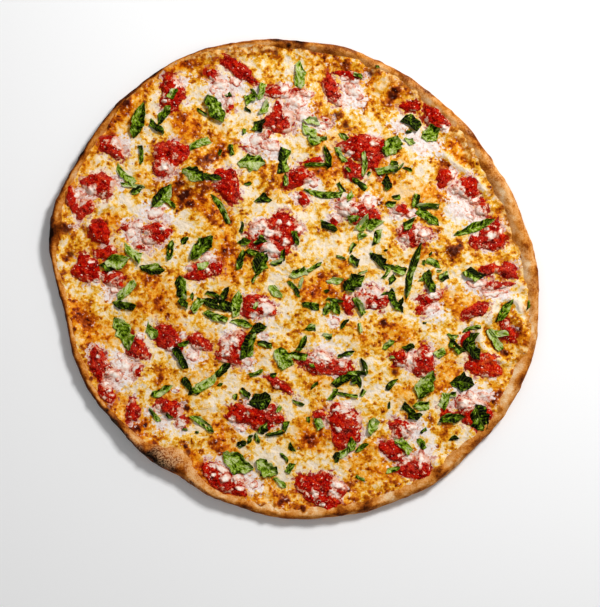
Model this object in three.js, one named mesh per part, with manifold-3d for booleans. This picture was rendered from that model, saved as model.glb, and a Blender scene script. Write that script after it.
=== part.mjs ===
// A grandma pizza about 400 mm across, uncut: a thin flat-bottomed dough base with a low uneven rim, a
// sheet of melted mozzarella, dollops of crushed tomato and torn basil. Millimetres, +Z up, with the
// origin at the middle of the flat underside.

import * as THREE from 'three';
import { mergeVertices } from 'three/addons/utils/BufferGeometryUtils.js';
import Module from 'manifold-3d';

const wasm = await Module();
wasm.setup();
const { Manifold, Mesh: SolidMesh } = wasm;

// ---------------------------------------------------------------- driving dimensions, mm and degrees

const MEAN_RADIUS = 197.9; // crust edge, averaged all round
const OVAL_REACH = 6.6; // the disc reaches this much past its mean along OVAL_TURN
const OVAL_TURN = 135;
const EDGE_WAVER = 0.7; // small ins and outs of the edge
const BASE_THICKNESS = 4.5; // dough under the cheese
const RIM_HEIGHT = 12.5;
const RIM_WIDTH = 10; // from the edge to where the cheese starts, averaged
const RIM_WIDTH_SWING = 3; // wider on the right, narrower on the left
const RIM_SWING_TURN = -20;
const CHEESE_THICKNESS = 3.2;
const CHEESE_RELIEF = 0.7; // rise and fall of the melted sheet
const CHEESE_CLIMB = 2.8; // how far the sheet climbs the rim
const CLIMB_FROM = 2.4; // where the climb starts, in rim widths in from the edge
const CLIMB_SPAN = 1.7; // and over how many rim widths it goes on
const TOMATO_RISE = 4.2; // middle of a large dollop above the cheese
const TOMATO_SINK = 0.9; // how deep a dollop presses the cheese down
const TOMATO_DEPTH = 2.5; // underside of a dollop below the cheese's top
const TOMATO_EDGE_RISE = 0.7; // a dollop's edge above the cheese
const LEAF_THICKNESS = 0.9;
const LEAF_CURL = 0.7; // how far a leaf's sides wave up and down
const SHRED_THICKNESS = 1.7; // of which the lower part sits in the cheese
const SHRED_RISE = 0.9; // top of a shred above what it lies on
const SHRED_CURL = 0.15;
const GAP = 0.3; // air between pieces that touch
const RIM_GAP = 0.4; // air between a dollop and the rim

// Finer forms of the edge: [turn, reach, spread in degrees].
const EDGE_SWELLS = [
  [346, 5.6, 15],
  [121, 2.6, 8],
  [165, 6.2, 7],
  [190, -3.4, 5],
  [240, -3.4, 5],
  [40, -1.5, 8],
];

// Places where a bubble widens the rim: [turn, extra width, extra height, spread in degrees].
const RIM_BUBBLES = [
  [236, 13, 2.2, 4.5],
  [168, 3, 1.6, 4],
  [15, 2, 0.8, 9],
  [118, -2, -1.5, 12],
];

// Bubbles and mounds under the cheese: [x, y, radius, height].
const BLISTERS = [
  [-79, 84, 15, 5.5],
  [-19, 84, 9, 2],
  [52, 58, 15, 3.4],
  [132, 23, 7, 2.6],
  [4, 140, 12, 1.6],
  [-25, 113, 10, 1.4],
  [-145, -75, 12, 1.6],
  [144, -100, 9, 1.6],
  [36, 134, 9, 1.5],
  [90, -40, 8, 1.2],
];

// A burst bubble leaves a ring of raised cheese: [x, y, ring radius, height, half width].
const BURST_RINGS = [
  [171, -48, 19, 3, 4],
  [-19, -8, 26, 0.8, 6],
];

// Crushed-tomato dollops, a node each: [x, y, length, width, turn of the length].
const DOLLOPS = [
  [-101, 153, 26, 22, 95],
  [-150, 109, 21, 16, -35],
  [-103, 101, 31, 25, 65],
  [-161, 78, 26, 20, 10],
  [-160, 39, 22, 16, -50],
  [-171, 8, 25, 20, 0],
  [-150, 1, 25, 12, -15],
  [-114, 38, 27, 16, 0],
  [-78, 6, 23, 13, 0],
  [-130, -58, 22, 17, -80],
  [-104, -49, 27, 18, -60],
  [-160, -70, 27, 17, 100],
  [-102, -107, 22, 14, -40],
  [-31, -113, 42, 22, -8],
  [-58, -165, 37, 19, -32],
  [25, -70, 41, 20, -8],
  [42, -121, 34, 29, -60],
  [23, -174, 38, 29, 0],
  [107, -70, 27, 19, -60],
  [156, -71, 30, 18, -5],
  [149, -110, 34, 21, -35],
  [89, -124, 21, 14, -10],
  [82, -142, 24, 13, -50],
  [100, -156, 31, 18, -10],
  [-50, -58, 28, 24, 20],
  [-30, -23, 26, 20, -30],
  [64, -16, 26, 20, -10],
  [-16, 37, 40, 35, 0],
  [52, 56, 31, 20, -15],
  [-55, 78, 28, 22, -60],
  [3, 84, 24, 17, 30],
  [-12, 130, 25, 19, 20],
  [31, 157, 27, 13, -62],
  [-46, 173, 35, 11, -30],
  [58, 108, 39, 20, -5],
  [117, 133, 27, 13, -38],
  [143, 75, 23, 15, -35],
  [163, 35, 25, 21, 0],
  [99, 37, 27, 17, -25],
];

// Smaller dollops, fused to the cheese: the same columns.
const SMALL_DOLLOPS = [
  [-182, 64, 22, 10, 100],
  [-173, 58, 17, 13, 50],
  [-156, 22, 18, 11, 20],
  [-78, -52, 18, 13, -20],
  [-154, -94, 15, 12, -30],
  [-133, -109, 18, 12, -70],
  [88, -66, 17, 13, 20],
  [45, -20, 17, 10, -80],
  [49, 90, 20, 12, -65],
  [64, 97, 16, 11, -80],
  [125, 84, 18, 13, 30],
  [176, 7, 18, 13, -30],
  [160, 8, 13, 9, 0],
  [168, -5, 24, 7, 0],
  [113, -15, 19, 12, 20],
  [150, -26, 20, 12, 20],
  [176, -42, 19, 11, -60],
  [-12, -87, 22, 8, -30],
  [-14, 154, 20, 10, 0],
  [97, 143, 16, 9, 10],
  [155, 59, 15, 10, -60],
  [-65, 9, 13, 11, 60],
  [88, 57, 14, 8, 10],
  [50, 166, 12, 9, 0],
  [-67, 169, 13, 9, -70],
  [8, 66, 13, 8, -85],
];

// Large pieces of basil, a node each: [x, y, length, width, turn of the length].
const LEAVES = [
  [-128, 131, 30, 11, 72],
  [-83, 86, 19, 15, -35],
  [-109, 69, 24, 12, 52],
  [-65, 141, 26, 13, -60],
  [-35, 96, 23, 14, 0],
  [113, 121, 16, 14, 20],
  [81, 110, 18, 14, 70],
  [-76, 26, 26, 13, 50],
  [-142, -45, 30, 14, -65],
  [-117, 9, 21, 10, -10],
  [-27, 14, 20, 13, 60],
  [50, -3, 20, 13, 40],
  [-46, -150, 28, 17, -25],
  [-22, -155, 21, 14, -30],
  [109, -87, 26, 14, 62],
  [139, -86, 19, 15, -8],
  [154, -114, 22, 17, -65],
  [149, 43, 36, 8, 22],
  [99, 7, 48, 7, 75],
];

// Smaller cut basil, fused to the cheese or dollop that it lies on: the same columns.
const SHREDS = [
  [-107, 135, 15, 8, 45],
  [-113, 126, 14, 6, -35],
  [-100, 153, 9, 7, 60],
  [-78, 112, 18, 7, 22],
  [-127, 103, 15, 4, 90],
  [-139, 86, 20, 6, -42],
  [-133, 77, 20, 4, -8],
  [-66, 85, 14, 6, -5],
  [-27, 155, 14, 6, 75],
  [-36, 149, 9, 8, 20],
  [-24, 142, 12, 7, 65],
  [-29, 127, 10, 9, 70],
  [-8, 98, 20, 10, 85],
  [5, 168, 19, 10, 80],
  [15, 131, 12, 7, -15],
  [13, 123, 13, 8, -25],
  [18, 115, 14, 7, 0],
  [39, 103, 14, 5, -60],
  [28, 101, 17, 6, 100],
  [18, 94, 16, 4, 0],
  [57, 95, 20, 5, 90],
  [54, 78, 14, 5, -35],
  [24, 72, 32, 6, -8],
  [-25, 67, 10, 10, 0],
  [97, 129, 16, 11, -35],
  [78, 91, 19, 7, 15],
  [77, 79, 10, 8, -60],
  [-147, 14, 18, 12, -10],
  [-133, 22, 17, 8, -38],
  [-102, 24, 16, 6, 85],
  [-75, 13, 10, 5, 20],
  [-138, -9, 20, 8, 40],
  [-140, -22, 18, 7, -10],
  [-94, -8, 20, 10, -80],
  [-80, -21, 13, 8, 50],
  [-117, -43, 12, 9, -40],
  [-94, -66, 20, 6, -65],
  [-61, 58, 28, 5, -60],
  [-28, 32, 10, 6, 20],
  [2, 34, 12, 5, -75],
  [-43, 16, 16, 6, 75],
  [-14, 14, 10, 5, 15],
  [4, 6, 13, 8, 10],
  [17, 10, 14, 4, 32],
  [-1, -8, 15, 4, -55],
  [-15, -10, 12, 8, -60],
  [34, -1, 12, 6, -5],
  [50, 16, 9, 7, -35],
  [28, 43, 14, 6, -25],
  [57, 47, 14, 8, 50],
  [67, 46, 12, 8, 25],
  [69, 34, 11, 6, 80],
  [14, -22, 14, 6, -8],
  [31, -24, 15, 11, 0],
  [54, -22, 15, 6, -60],
  [7, -53, 14, 5, 60],
  [-44, -37, 17, 6, -18],
  [-30, -40, 12, 9, 20],
  [-37, -56, 20, 11, 80],
  [-24, -54, 12, 5, -10],
  [-9, -66, 17, 12, -60],
  [43, -62, 14, 4, 15],
  [-46, -21, 20, 8, 80],
  [-62, -20, 22, 10, -10],
  [-63, -31, 18, 5, -20],
  [101, 65, 11, 6, 80],
  [111, 53, 21, 11, -32],
  [95, 46, 10, 8, 30],
  [71, 16, 15, 10, -50],
  [84, 8, 14, 7, -15],
  [85, -18, 20, 8, -62],
  [115, 14, 12, 7, -25],
  [111, -2, 18, 8, -75],
  [124, 2, 8, 7, 30],
  [148, 4, 14, 9, -30],
  [174, -26, 20, 8, 60],
  [166, -50, 18, 8, -58],
  [147, -41, 15, 4, 15],
  [133, -53, 18, 8, -45],
  [148, -56, 18, 10, -55],
  [78, -53, 10, 6, 30],
  [121, -61, 9, 8, 30],
  [-109, -92, 18, 7, 30],
  [-87, -88, 13, 7, -55],
  [-73, -85, 19, 8, 30],
  [-115, -112, 14, 4, -50],
  [-75, -119, 21, 7, -35],
  [-58, -75, 15, 7, 50],
  [-31, -77, 12, 4, 20],
  [-28, -99, 17, 13, 10],
  [-18, -126, 20, 6, 10],
  [-12, -168, 12, 5, -45],
  [21, -119, 9, 8, -70],
  [66, -121, 13, 8, 80],
  [40, -84, 16, 7, 30],
  [52, -83, 11, 9, -80],
  [58, -72, 14, 5, -75],
  [32, -95, 11, 5, 60],
  [41, -143, 17, 7, 30],
  [48, -137, 11, 8, 80],
  [124, -100, 13, 8, 70],
  [106, -105, 12, 8, 10],
  [94, -108, 11, 6, -35],
  [130, -115, 17, 8, 0],
  [92, -137, 15, 9, -45],
  [105, -136, 10, 6, -60],
  [81, -87, 12, 5, 50],
];

// How finely the forms are faceted.
const CRUST_SECTORS = 90;
const CHEESE_RINGS = 15;
const DOLLOP_SECTORS = 10;
const SMALL_DOLLOP_SECTORS = 7;
const LEAF_STATIONS = 4;
const LONG_SHRED_AREA = 100; // mm2, from which a shred bends in the middle

// ---------------------------------------------------------------- small helpers

const radians = (degrees) => (degrees * Math.PI) / 180;
const bell = (t) => Math.exp(-0.5 * t * t);
const clamp01 = (t) => Math.min(1, Math.max(0, t));
const smooth = (t) => clamp01(t) ** 2 * (3 - 2 * clamp01(t));
const turnBetween = (a, b) => ((((a - b) % 360) + 540) % 360) - 180;

// A repeatable draw between 0 and 1, one sequence for each seed.
function draws(seed) {
  let state = seed * 7919 + 17;
  return () => {
    state = (state * 1664525 + 1013904223) % 4294967296;
    return state / 4294967296;
  };
}

// A closed solid from points and triangles that already share their points.
function solidOf(points, triangles) {
  const geometry = new THREE.BufferGeometry();
  geometry.setAttribute('position', new THREE.Float32BufferAttribute(points.flat(), 3));
  geometry.setIndex(triangles.flat());
  const merged = mergeVertices(geometry);
  return new Manifold(
    new SolidMesh({
      numProp: 3,
      vertProperties: merged.attributes.position.array,
      triVerts: new Uint32Array(merged.index.array),
    }),
  );
}

function geometryOf(solid) {
  const { vertProperties, triVerts } = solid.getMesh();
  const geometry = new THREE.BufferGeometry();
  geometry.setAttribute('position', new THREE.BufferAttribute(vertProperties, 3));
  geometry.setIndex(new THREE.BufferAttribute(triVerts, 1));
  geometry.computeVertexNormals();
  return geometry;
}

const raised = (solid, lift) => solid.translate([0, 0, lift]);

// The largest body of a solid, without the scraps that a cut can leave.
const largestBody = (solid) =>
  solid.decompose().reduce((best, body) => (body.volume() > best.volume() ? body : best));

// ---------------------------------------------------------------- the disc: edge, rim and height fields

function edgeRadius(turn) {
  let radius = MEAN_RADIUS + OVAL_REACH * Math.cos(radians(2 * (turn - OVAL_TURN)));
  for (const [at, reach, spread] of EDGE_SWELLS) radius += reach * bell(turnBetween(turn, at) / spread);
  const waver = Math.sin(radians(11 * turn)) + 0.7 * Math.sin(radians(19 * turn + 40));
  return radius + EDGE_WAVER * waver;
}

function rimWidth(turn) {
  let width = RIM_WIDTH + RIM_WIDTH_SWING * Math.cos(radians(turn - RIM_SWING_TURN));
  for (const [at, wider, , spread] of RIM_BUBBLES) width += wider * bell(turnBetween(turn, at) / spread);
  return width + 0.6 * Math.sin(radians(11 * turn + 60));
}

function rimHeight(turn) {
  let height = RIM_HEIGHT + 0.9 * Math.sin(radians(5 * turn)) + 0.6 * Math.sin(radians(13 * turn + 80));
  for (const [at, , higher, spread] of RIM_BUBBLES) height += higher * bell(turnBetween(turn, at) / spread);
  return height;
}

// The outline's own middle, so that the disc is centred over the origin.
const outlineTurns = Array.from({ length: CRUST_SECTORS }, (_, i) => (360 * i) / CRUST_SECTORS);
const outlineXs = outlineTurns.map((turn) => edgeRadius(turn) * Math.cos(radians(turn)));
const outlineYs = outlineTurns.map((turn) => edgeRadius(turn) * Math.sin(radians(turn)));
const CENTRE_X = (Math.max(...outlineXs) + Math.min(...outlineXs)) / 2;
const CENTRE_Y = (Math.max(...outlineYs) + Math.min(...outlineYs)) / 2;

// A point of the disc at a turn and a distance in from the edge.
function discPoint(turn, inset, z) {
  const radius = edgeRadius(turn) - inset;
  return [radius * Math.cos(radians(turn)) - CENTRE_X, radius * Math.sin(radians(turn)) - CENTRE_Y, z];
}

// Long waves of about 130 mm and crossing short ones of about 50 mm.
function sheetRelief(x, y) {
  const long = Math.sin(x / 23 + 0.6) * Math.cos(y / 19 - 0.4);
  const short = Math.sin((x + 1.7 * y) / 15) * Math.sin((1.4 * x - y) / 13 + 2);
  return CHEESE_RELIEF * (long + 0.8 * short);
}

// Height of the melted cheese over the underside.
function cheeseTop(x, y) {
  const turn = (Math.atan2(y + CENTRE_Y, x + CENTRE_X) * 180) / Math.PI;
  const inset = edgeRadius(turn) - Math.hypot(x + CENTRE_X, y + CENTRE_Y);
  const climb = CHEESE_CLIMB * smooth((CLIMB_FROM - inset / rimWidth(turn)) / CLIMB_SPAN);
  let z = BASE_THICKNESS + GAP + CHEESE_THICKNESS + climb + sheetRelief(x, y);
  for (const [bx, by, radius, height] of BLISTERS) {
    z += height * bell((1.5 * Math.hypot(x - bx, y - by)) / radius);
  }
  for (const [bx, by, ring, height, half] of BURST_RINGS) {
    z += height * bell((Math.hypot(x - bx, y - by) - ring) / half);
  }
  for (const [tx, ty, length, width] of DOLLOPS) {
    z -= TOMATO_SINK * bell((2.2 * Math.hypot(x - tx, y - ty)) / (length + width));
  }
  return z;
}

// ---------------------------------------------------------------- crust

// Rings from the underside out, over the rim and in to the flat floor, then a fan across each face. Each
// ring has its distance in from the edge and its height.
function crustSolid() {
  const ringAt = [
    () => [2.6, 0],
    () => [0.5, 2],
    () => [0, 5.5],
    (width, height) => [0.14 * width, 0.84 * height],
    (width, height) => [0.4 * width, height],
    (width, height) => [0.75 * width, 0.86 * height],
    (width) => [1.2 * width, BASE_THICKNESS + 1.8],
    (width) => [1.9 * width, BASE_THICKNESS],
  ];
  const points = [];
  for (const profile of ringAt) {
    for (const turn of outlineTurns) {
      const [inset, z] = profile(rimWidth(turn), rimHeight(turn));
      points.push(discPoint(turn, inset, z));
    }
  }
  const triangles = [];
  const n = CRUST_SECTORS;
  for (let ring = 0; ring < ringAt.length - 1; ring += 1) {
    for (let i = 0; i < n; i += 1) {
      const a = ring * n + i;
      const b = ring * n + ((i + 1) % n);
      triangles.push([a, b, b + n], [a, b + n, a + n]);
    }
  }
  const below = points.push([0, 0, 0]) - 1;
  const above = points.push([0, 0, BASE_THICKNESS]) - 1;
  const top = (ringAt.length - 1) * n;
  for (let i = 0; i < n; i += 1) {
    const next = (i + 1) % n;
    triangles.push([below, next, i], [above, top + i, top + next]);
  }
  return solidOf(points, triangles);
}

// ---------------------------------------------------------------- cheese

// A sheet whose points sit on rings of 6, 12, 18 ... round the middle, closed by a flat underside. Its edge
// ends inside the rim, which then cuts it to the rim's own uneven line.
function cheeseBlank() {
  const points = [[0, 0, cheeseTop(0, 0)]];
  const triangles = [];
  const ringStart = (ring) => (ring === 0 ? 0 : 1 + 3 * ring * (ring - 1));
  for (let ring = 1; ring <= CHEESE_RINGS; ring += 1) {
    for (let i = 0; i < 6 * ring; i += 1) {
      const turn = (60 * i) / ring;
      const reach = (edgeRadius(turn) - 0.5 * rimWidth(turn)) * (ring / CHEESE_RINGS);
      const [x, y] = discPoint(turn, edgeRadius(turn) - reach, 0);
      points.push([x, y, cheeseTop(x, y)]);
    }
  }
  for (let ring = 1; ring <= CHEESE_RINGS; ring += 1) {
    const inner = ringStart(ring - 1);
    const outer = ringStart(ring);
    const innerCount = Math.max(1, 6 * (ring - 1));
    for (let side = 0; side < 6; side += 1) {
      for (let step = 0; step < ring; step += 1) {
        const a = outer + side * ring + step;
        const b = outer + ((side * ring + step + 1) % (6 * ring));
        const c = inner + ((side * (ring - 1) + step) % innerCount);
        triangles.push([a, b, c]);
        if (step < ring - 1) triangles.push([b, inner + ((side * (ring - 1) + step + 1) % innerCount), c]);
      }
    }
  }
  const rimStart = ringStart(CHEESE_RINGS);
  const count = 6 * CHEESE_RINGS;
  const floorStart = points.length;
  for (let i = 0; i < count; i += 1) points.push([points[rimStart + i][0], points[rimStart + i][1], 1]);
  const middle = points.push([0, 0, 1]) - 1;
  for (let i = 0; i < count; i += 1) {
    const next = (i + 1) % count;
    triangles.push([rimStart + i, floorStart + i, floorStart + next]);
    triangles.push([rimStart + i, floorStart + next, rimStart + next]);
    triangles.push([middle, floorStart + next, floorStart + i]);
  }
  return solidOf(points, triangles);
}

// ---------------------------------------------------------------- tomato

// How far a dollop's uneven outline reaches at an angle of its own, as a share of its half sizes.
function dollopReach(seed) {
  const draw = draws(seed);
  const waves = [2, 3, 5].map((count, i) => [count, [0.12, 0.1, 0.07][i], 2 * Math.PI * draw()]);
  const wave = (angle) => waves.map(([count, size, phase]) => size * Math.sin(count * angle + phase));
  return (angle) => wave(angle).reduce((sum, part) => sum + part, 1);
}

const dollopHeight = (width) => TOMATO_RISE * Math.min(1, Math.sqrt(width / 20));

// Rise of a dollop over the cheese at a point, 0 outside its outline.
function dollopRise([tx, ty, length, width, turn], seed, x, y) {
  const along = (x - tx) * Math.cos(radians(turn)) + (y - ty) * Math.sin(radians(turn));
  const across = (y - ty) * Math.cos(radians(turn)) - (x - tx) * Math.sin(radians(turn));
  const angle = Math.atan2(across / width, along / length);
  const share = Math.hypot((2 * along) / length, (2 * across) / width) / dollopReach(seed)(angle);
  return share >= 1 ? 0 : dollopHeight(width) * (1 - share ** 2) ** 0.7;
}

// A lumpy mound draped over the cheese, with a flat underside below the cheese's top. A grown one is
// larger all round and cuts its neighbours clear. Each point between middle and edge is a lump or a hollow.
function dollopSolid(place, seed, sectors, grow = 0) {
  const [tx, ty, length, width, turn] = place;
  const reach = dollopReach(seed);
  const draw = draws(seed + 400);
  const ringShares = sectors > SMALL_DOLLOP_SECTORS ? [0.42, 0.78, 1] : [0.6, 1];
  const points = [[tx, ty, cheeseTop(tx, ty) + dollopRise(place, seed, tx, ty) + grow]];
  for (const share of ringShares) {
    for (let i = 0; i < sectors; i += 1) {
      const angle = (2 * Math.PI * i) / sectors;
      const lump = share < 1 ? 0.75 + 0.6 * draw() : 1;
      const along = (length / 2 + grow) * share * reach(angle) * Math.cos(angle);
      const across = (width / 2 + grow) * share * reach(angle) * Math.sin(angle);
      const x = tx + along * Math.cos(radians(turn)) - across * Math.sin(radians(turn));
      const y = ty + along * Math.sin(radians(turn)) + across * Math.cos(radians(turn));
      const rise = share < 1 ? lump * dollopRise(place, seed, x, y) : TOMATO_EDGE_RISE;
      points.push([x, y, cheeseTop(x, y) + rise + grow]);
    }
  }
  const foot = points.length;
  const edge = 1 + (ringShares.length - 1) * sectors;
  const floor = cheeseTop(tx, ty) - TOMATO_DEPTH;
  for (let i = 0; i < sectors; i += 1) points.push([points[edge + i][0], points[edge + i][1], floor]);
  const middle = points.push([tx, ty, floor]) - 1;
  const triangles = [];
  for (let i = 0; i < sectors; i += 1) {
    const next = (i + 1) % sectors;
    triangles.push([0, 1 + i, 1 + next], [middle, foot + next, foot + i]);
    for (let ring = 0; ring < ringShares.length; ring += 1) {
      const a = 1 + ring * sectors + i;
      const b = 1 + ring * sectors + next;
      triangles.push([a, a + sectors, b + sectors], [a, b + sectors, b]);
    }
  }
  return solidOf(points, triangles);
}

// ---------------------------------------------------------------- basil

// A thin wavy strip, fullest in the middle with blunt ends, that follows a height field and leans and bends
// a little by its seed. Both faces are split alike.
function leafSolid(place, seed, { stations, lanes, thickness, heightAt, curl, grow = 0 }) {
  const [lx, ly, length, width, turn] = place;
  const draw = draws(seed + 900);
  const lean = 0.25 * (draw() - 0.5);
  const bend = 0.16 * (draw() - 0.5);
  const points = [];
  const row = lanes + 1;
  for (let i = 0; i <= stations; i += 1) {
    const t = i / stations;
    const fullness = 0.3 + 0.7 * Math.sin(Math.PI * (0.1 + 0.8 * t)) ** 0.8 + lean * (t - 0.5);
    const half = (width / 2) * fullness + grow;
    const swing = bend * length * Math.sin(Math.PI * t);
    for (let j = 0; j <= lanes; j += 1) {
      const along = (length + 2 * grow) * (t - 0.5);
      const across = swing + half * ((2 * j) / lanes - 1);
      const x = lx + along * Math.cos(radians(turn)) - across * Math.sin(radians(turn));
      const y = ly + along * Math.sin(radians(turn)) + across * Math.cos(radians(turn));
      const wave = curl * (0.5 + Math.sin(2.6 * Math.PI * t + seed) * ((2 * j) / lanes - 1));
      points.push([x, y, heightAt(x, y) + wave]);
    }
  }
  const under = points.length;
  for (let i = 0; i < under; i += 1) points.push([points[i][0], points[i][1], points[i][2] - thickness]);
  const triangles = [];
  const wall = (a, b) => triangles.push([a, under + a, under + b], [a, under + b, b]);
  for (let i = 0; i < stations; i += 1) {
    for (let j = 0; j < lanes; j += 1) {
      const [a, b, c, d] = [i * row + j, (i + 1) * row + j, (i + 1) * row + j + 1, i * row + j + 1];
      triangles.push([a, b, c], [a, c, d]);
      triangles.push([under + a, under + c, under + b], [under + a, under + d, under + c]);
    }
    wall(i * row, (i + 1) * row);
    wall((i + 1) * row + lanes, i * row + lanes);
  }
  for (let j = 0; j < lanes; j += 1) {
    wall(j + 1, j);
    wall(stations * row + j, stations * row + j + 1);
  }
  return solidOf(points, triangles);
}

// ---------------------------------------------------------------- putting the pizza together

const crust = crustSolid();

const dollopTop = (x, y) =>
  DOLLOPS.reduce((high, place, i) => Math.max(high, dollopRise(place, i + 1, x, y)), 0);
const surfaceTop = (x, y) => cheeseTop(x, y) + dollopTop(x, y);

let cheese = cheeseBlank().subtract(raised(crust, GAP));
SMALL_DOLLOPS.forEach((place, i) => {
  cheese = cheese.add(dollopSolid(place, i + 101, SMALL_DOLLOP_SECTORS));
});

const dollops = DOLLOPS.map((place, i) => dollopSolid(place, i + 1, DOLLOP_SECTORS));
const grownDollops = DOLLOPS.map((place, i) => dollopSolid(place, i + 1, DOLLOP_SECTORS, 2 * GAP));

// A shred joins the dollop under its middle, if it fits on it, or else the cheese, where it is clear of
// every dollop. One that does neither is skipped.
const CARRYING_RISE = 0.4 * TOMATO_RISE; // a dollop at least this high carries a shred
const MOST_OVERHANG = 0.35; // share of a shred that may reach past its dollop
SHREDS.forEach((place, i) => {
  const [x, y, length, width] = place;
  const stations = length * width > LONG_SHRED_AREA ? 2 : 1;
  const shredForm = { stations, lanes: 1, thickness: SHRED_THICKNESS, curl: SHRED_CURL };
  const host = DOLLOPS.findIndex((dollop, k) => dollopRise(dollop, k + 1, x, y) > CARRYING_RISE);
  if (host >= 0) {
    const hostTop = (px, py) => cheeseTop(px, py) + dollopRise(DOLLOPS[host], host + 1, px, py);
    const heightAt = (px, py) => hostTop(px, py) + SHRED_RISE;
    const shred = leafSolid(place, i, { ...shredForm, heightAt });
    const joined = dollops[host].add(shred);
    const overhang = shred.subtract(grownDollops[host]).volume();
    if (overhang < MOST_OVERHANG * shred.volume() && joined.decompose().length === 1) dollops[host] = joined;
    return;
  }
  const heightAt = (px, py) => cheeseTop(px, py) + SHRED_RISE;
  const shred = leafSolid(place, i, { ...shredForm, heightAt });
  const touched = grownDollops.some((dollop) => dollop.intersect(shred).volume() > 0);
  if (!touched) cheese = cheese.add(shred);
});
cheese = largestBody(cheese.subtract(raised(crust, GAP)));

// Each dollop is cut to the cheese and the rim under it and to the dollops before it.
const dollopCutters = [cheese, raised(cheese, GAP), raised(crust, RIM_GAP)];
dollops.forEach((dollop, i) => {
  let cut = dollopCutters.reduce((rest, cutter) => rest.subtract(cutter), dollop);
  for (let k = 0; k < i; k += 1) cut = cut.subtract(grownDollops[k]);
  dollops[i] = largestBody(cut);
});

// Each leaf is lifted in small steps until it clears what lies under it.
const LIFT_STEP = 0.2;
const leafForm = { stations: LEAF_STATIONS, lanes: 2, curl: LEAF_CURL, heightAt: surfaceTop };
const leaves = [];
LEAVES.forEach((place, i) => {
  const leaf = leafSolid(place, i, { ...leafForm, thickness: LEAF_THICKNESS });
  const room = leafSolid(place, i, { ...leafForm, thickness: LEAF_THICKNESS + GAP, grow: GAP });
  let lift = LEAF_THICKNESS;
  const below = [crust, cheese, ...dollops, ...leaves];
  while (below.some((piece) => piece.intersect(raised(room, lift)).volume() > 0)) lift += LIFT_STEP;
  leaves.push(raised(leaf, lift));
});

// ---------------------------------------------------------------- finishes and the group

const finish = (color, roughness) => new THREE.MeshStandardMaterial({ color, roughness, metalness: 0 });
const bakedDough = finish('#c98a4b', 0.85);
const meltedMozzarella = finish('#efd9a6', 0.5);
const crushedTomato = finish('#a3160c', 0.35);
const basilLeaf = finish('#2f6b1c', 0.6);

const group = new THREE.Group();

function addNode(name, solid, material) {
  const mesh = new THREE.Mesh(geometryOf(solid), material);
  mesh.name = name;
  group.add(mesh);
}

const numbered = (name, i) => `${name}_${String(i + 1).padStart(2, '0')}`;
addNode('crust', crust, bakedDough);
addNode('cheese', cheese, meltedMozzarella);
dollops.forEach((solid, i) => addNode(numbered('tomato', i), solid, crushedTomato));
leaves.forEach((solid, i) => addNode(numbered('basil', i), solid, basilLeaf));

export default group;
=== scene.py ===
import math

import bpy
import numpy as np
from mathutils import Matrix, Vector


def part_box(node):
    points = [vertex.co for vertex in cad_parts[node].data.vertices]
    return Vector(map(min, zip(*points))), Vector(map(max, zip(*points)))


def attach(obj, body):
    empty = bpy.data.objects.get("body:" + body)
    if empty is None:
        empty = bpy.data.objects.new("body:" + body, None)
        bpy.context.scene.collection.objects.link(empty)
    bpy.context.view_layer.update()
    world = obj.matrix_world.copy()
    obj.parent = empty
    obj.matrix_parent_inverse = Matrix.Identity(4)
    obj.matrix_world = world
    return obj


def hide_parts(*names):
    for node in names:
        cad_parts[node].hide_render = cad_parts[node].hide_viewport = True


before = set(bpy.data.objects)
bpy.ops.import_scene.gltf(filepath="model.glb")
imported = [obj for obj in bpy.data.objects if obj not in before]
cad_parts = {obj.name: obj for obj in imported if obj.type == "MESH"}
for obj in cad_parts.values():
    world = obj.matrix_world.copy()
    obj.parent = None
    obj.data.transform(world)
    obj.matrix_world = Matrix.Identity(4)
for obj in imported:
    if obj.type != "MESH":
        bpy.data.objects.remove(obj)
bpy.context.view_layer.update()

# A grandma pizza seen from straight above: a baked dough disc with a low rim, a browned sheet of melted
# mozzarella, wet crushed tomato under white curds, and torn basil. Plans are in millimetres and degrees as
# seen from above, with +x to the right and +y up, and heights in millimetres over the underside.

MM = 0.001

# ------------------------------------------------------------------------------------ sizes of the solids

MEAN_RADIUS = 197.9      # crust edge, averaged all round
OVAL_REACH = 6.6         # the disc reaches this much past its mean along OVAL_TURN
OVAL_TURN = 135
EDGE_WAVER = 0.7         # small ins and outs of the edge
BASE_THICKNESS = 4.5     # dough under the cheese
RIM_HEIGHT = 12.5
RIM_WIDTH = 10           # from the edge to where the cheese starts, averaged
RIM_WIDTH_SWING = 3      # wider on the right, narrower on the left
RIM_SWING_TURN = -20
CHEESE_THICKNESS = 3.2
CHEESE_RELIEF = 0.7      # rise and fall of the melted sheet
CHEESE_CLIMB = 2.8       # how far the sheet climbs the rim
CLIMB_FROM = 2.4         # where the climb starts, in rim widths in from the edge
CLIMB_SPAN = 1.7         # and over how many rim widths it goes on
TOMATO_RISE = 4.2        # middle of a large dollop above the cheese
TOMATO_SINK = 0.9        # how deep a dollop presses the cheese down
GAP = 0.3                # air between dough and cheese

# Finer forms of the edge: [turn, reach, spread in degrees]
EDGE_SWELLS = [[346, 5.6, 15], [121, 2.6, 8], [165, 6.2, 7], [190, -3.4, 5], [240, -3.4, 5], [40, -1.5, 8]]

# Places where a bubble widens the rim: [turn, extra width, extra height, spread in degrees]
RIM_BUBBLES = [[236, 13, 2.2, 4.5], [168, 3, 1.6, 4], [15, 2, 0.8, 9], [118, -2, -1.5, 12]]

# Bubbles and mounds under the cheese: [x, y, radius, height]
BLISTERS = [
    [-79, 84, 15, 5.5], [-19, 84, 9, 2], [52, 58, 15, 3.4], [132, 23, 7, 2.6], [4, 140, 12, 1.6],
    [-25, 113, 10, 1.4], [-145, -75, 12, 1.6], [144, -100, 9, 1.6], [36, 134, 9, 1.5], [90, -40, 8, 1.2],
]

# A burst bubble leaves a ring of raised cheese: [x, y, ring radius, height, half width]
BURST_RINGS = [[171, -48, 19, 3, 4], [-19, -8, 26, 0.8, 6]]

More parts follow.
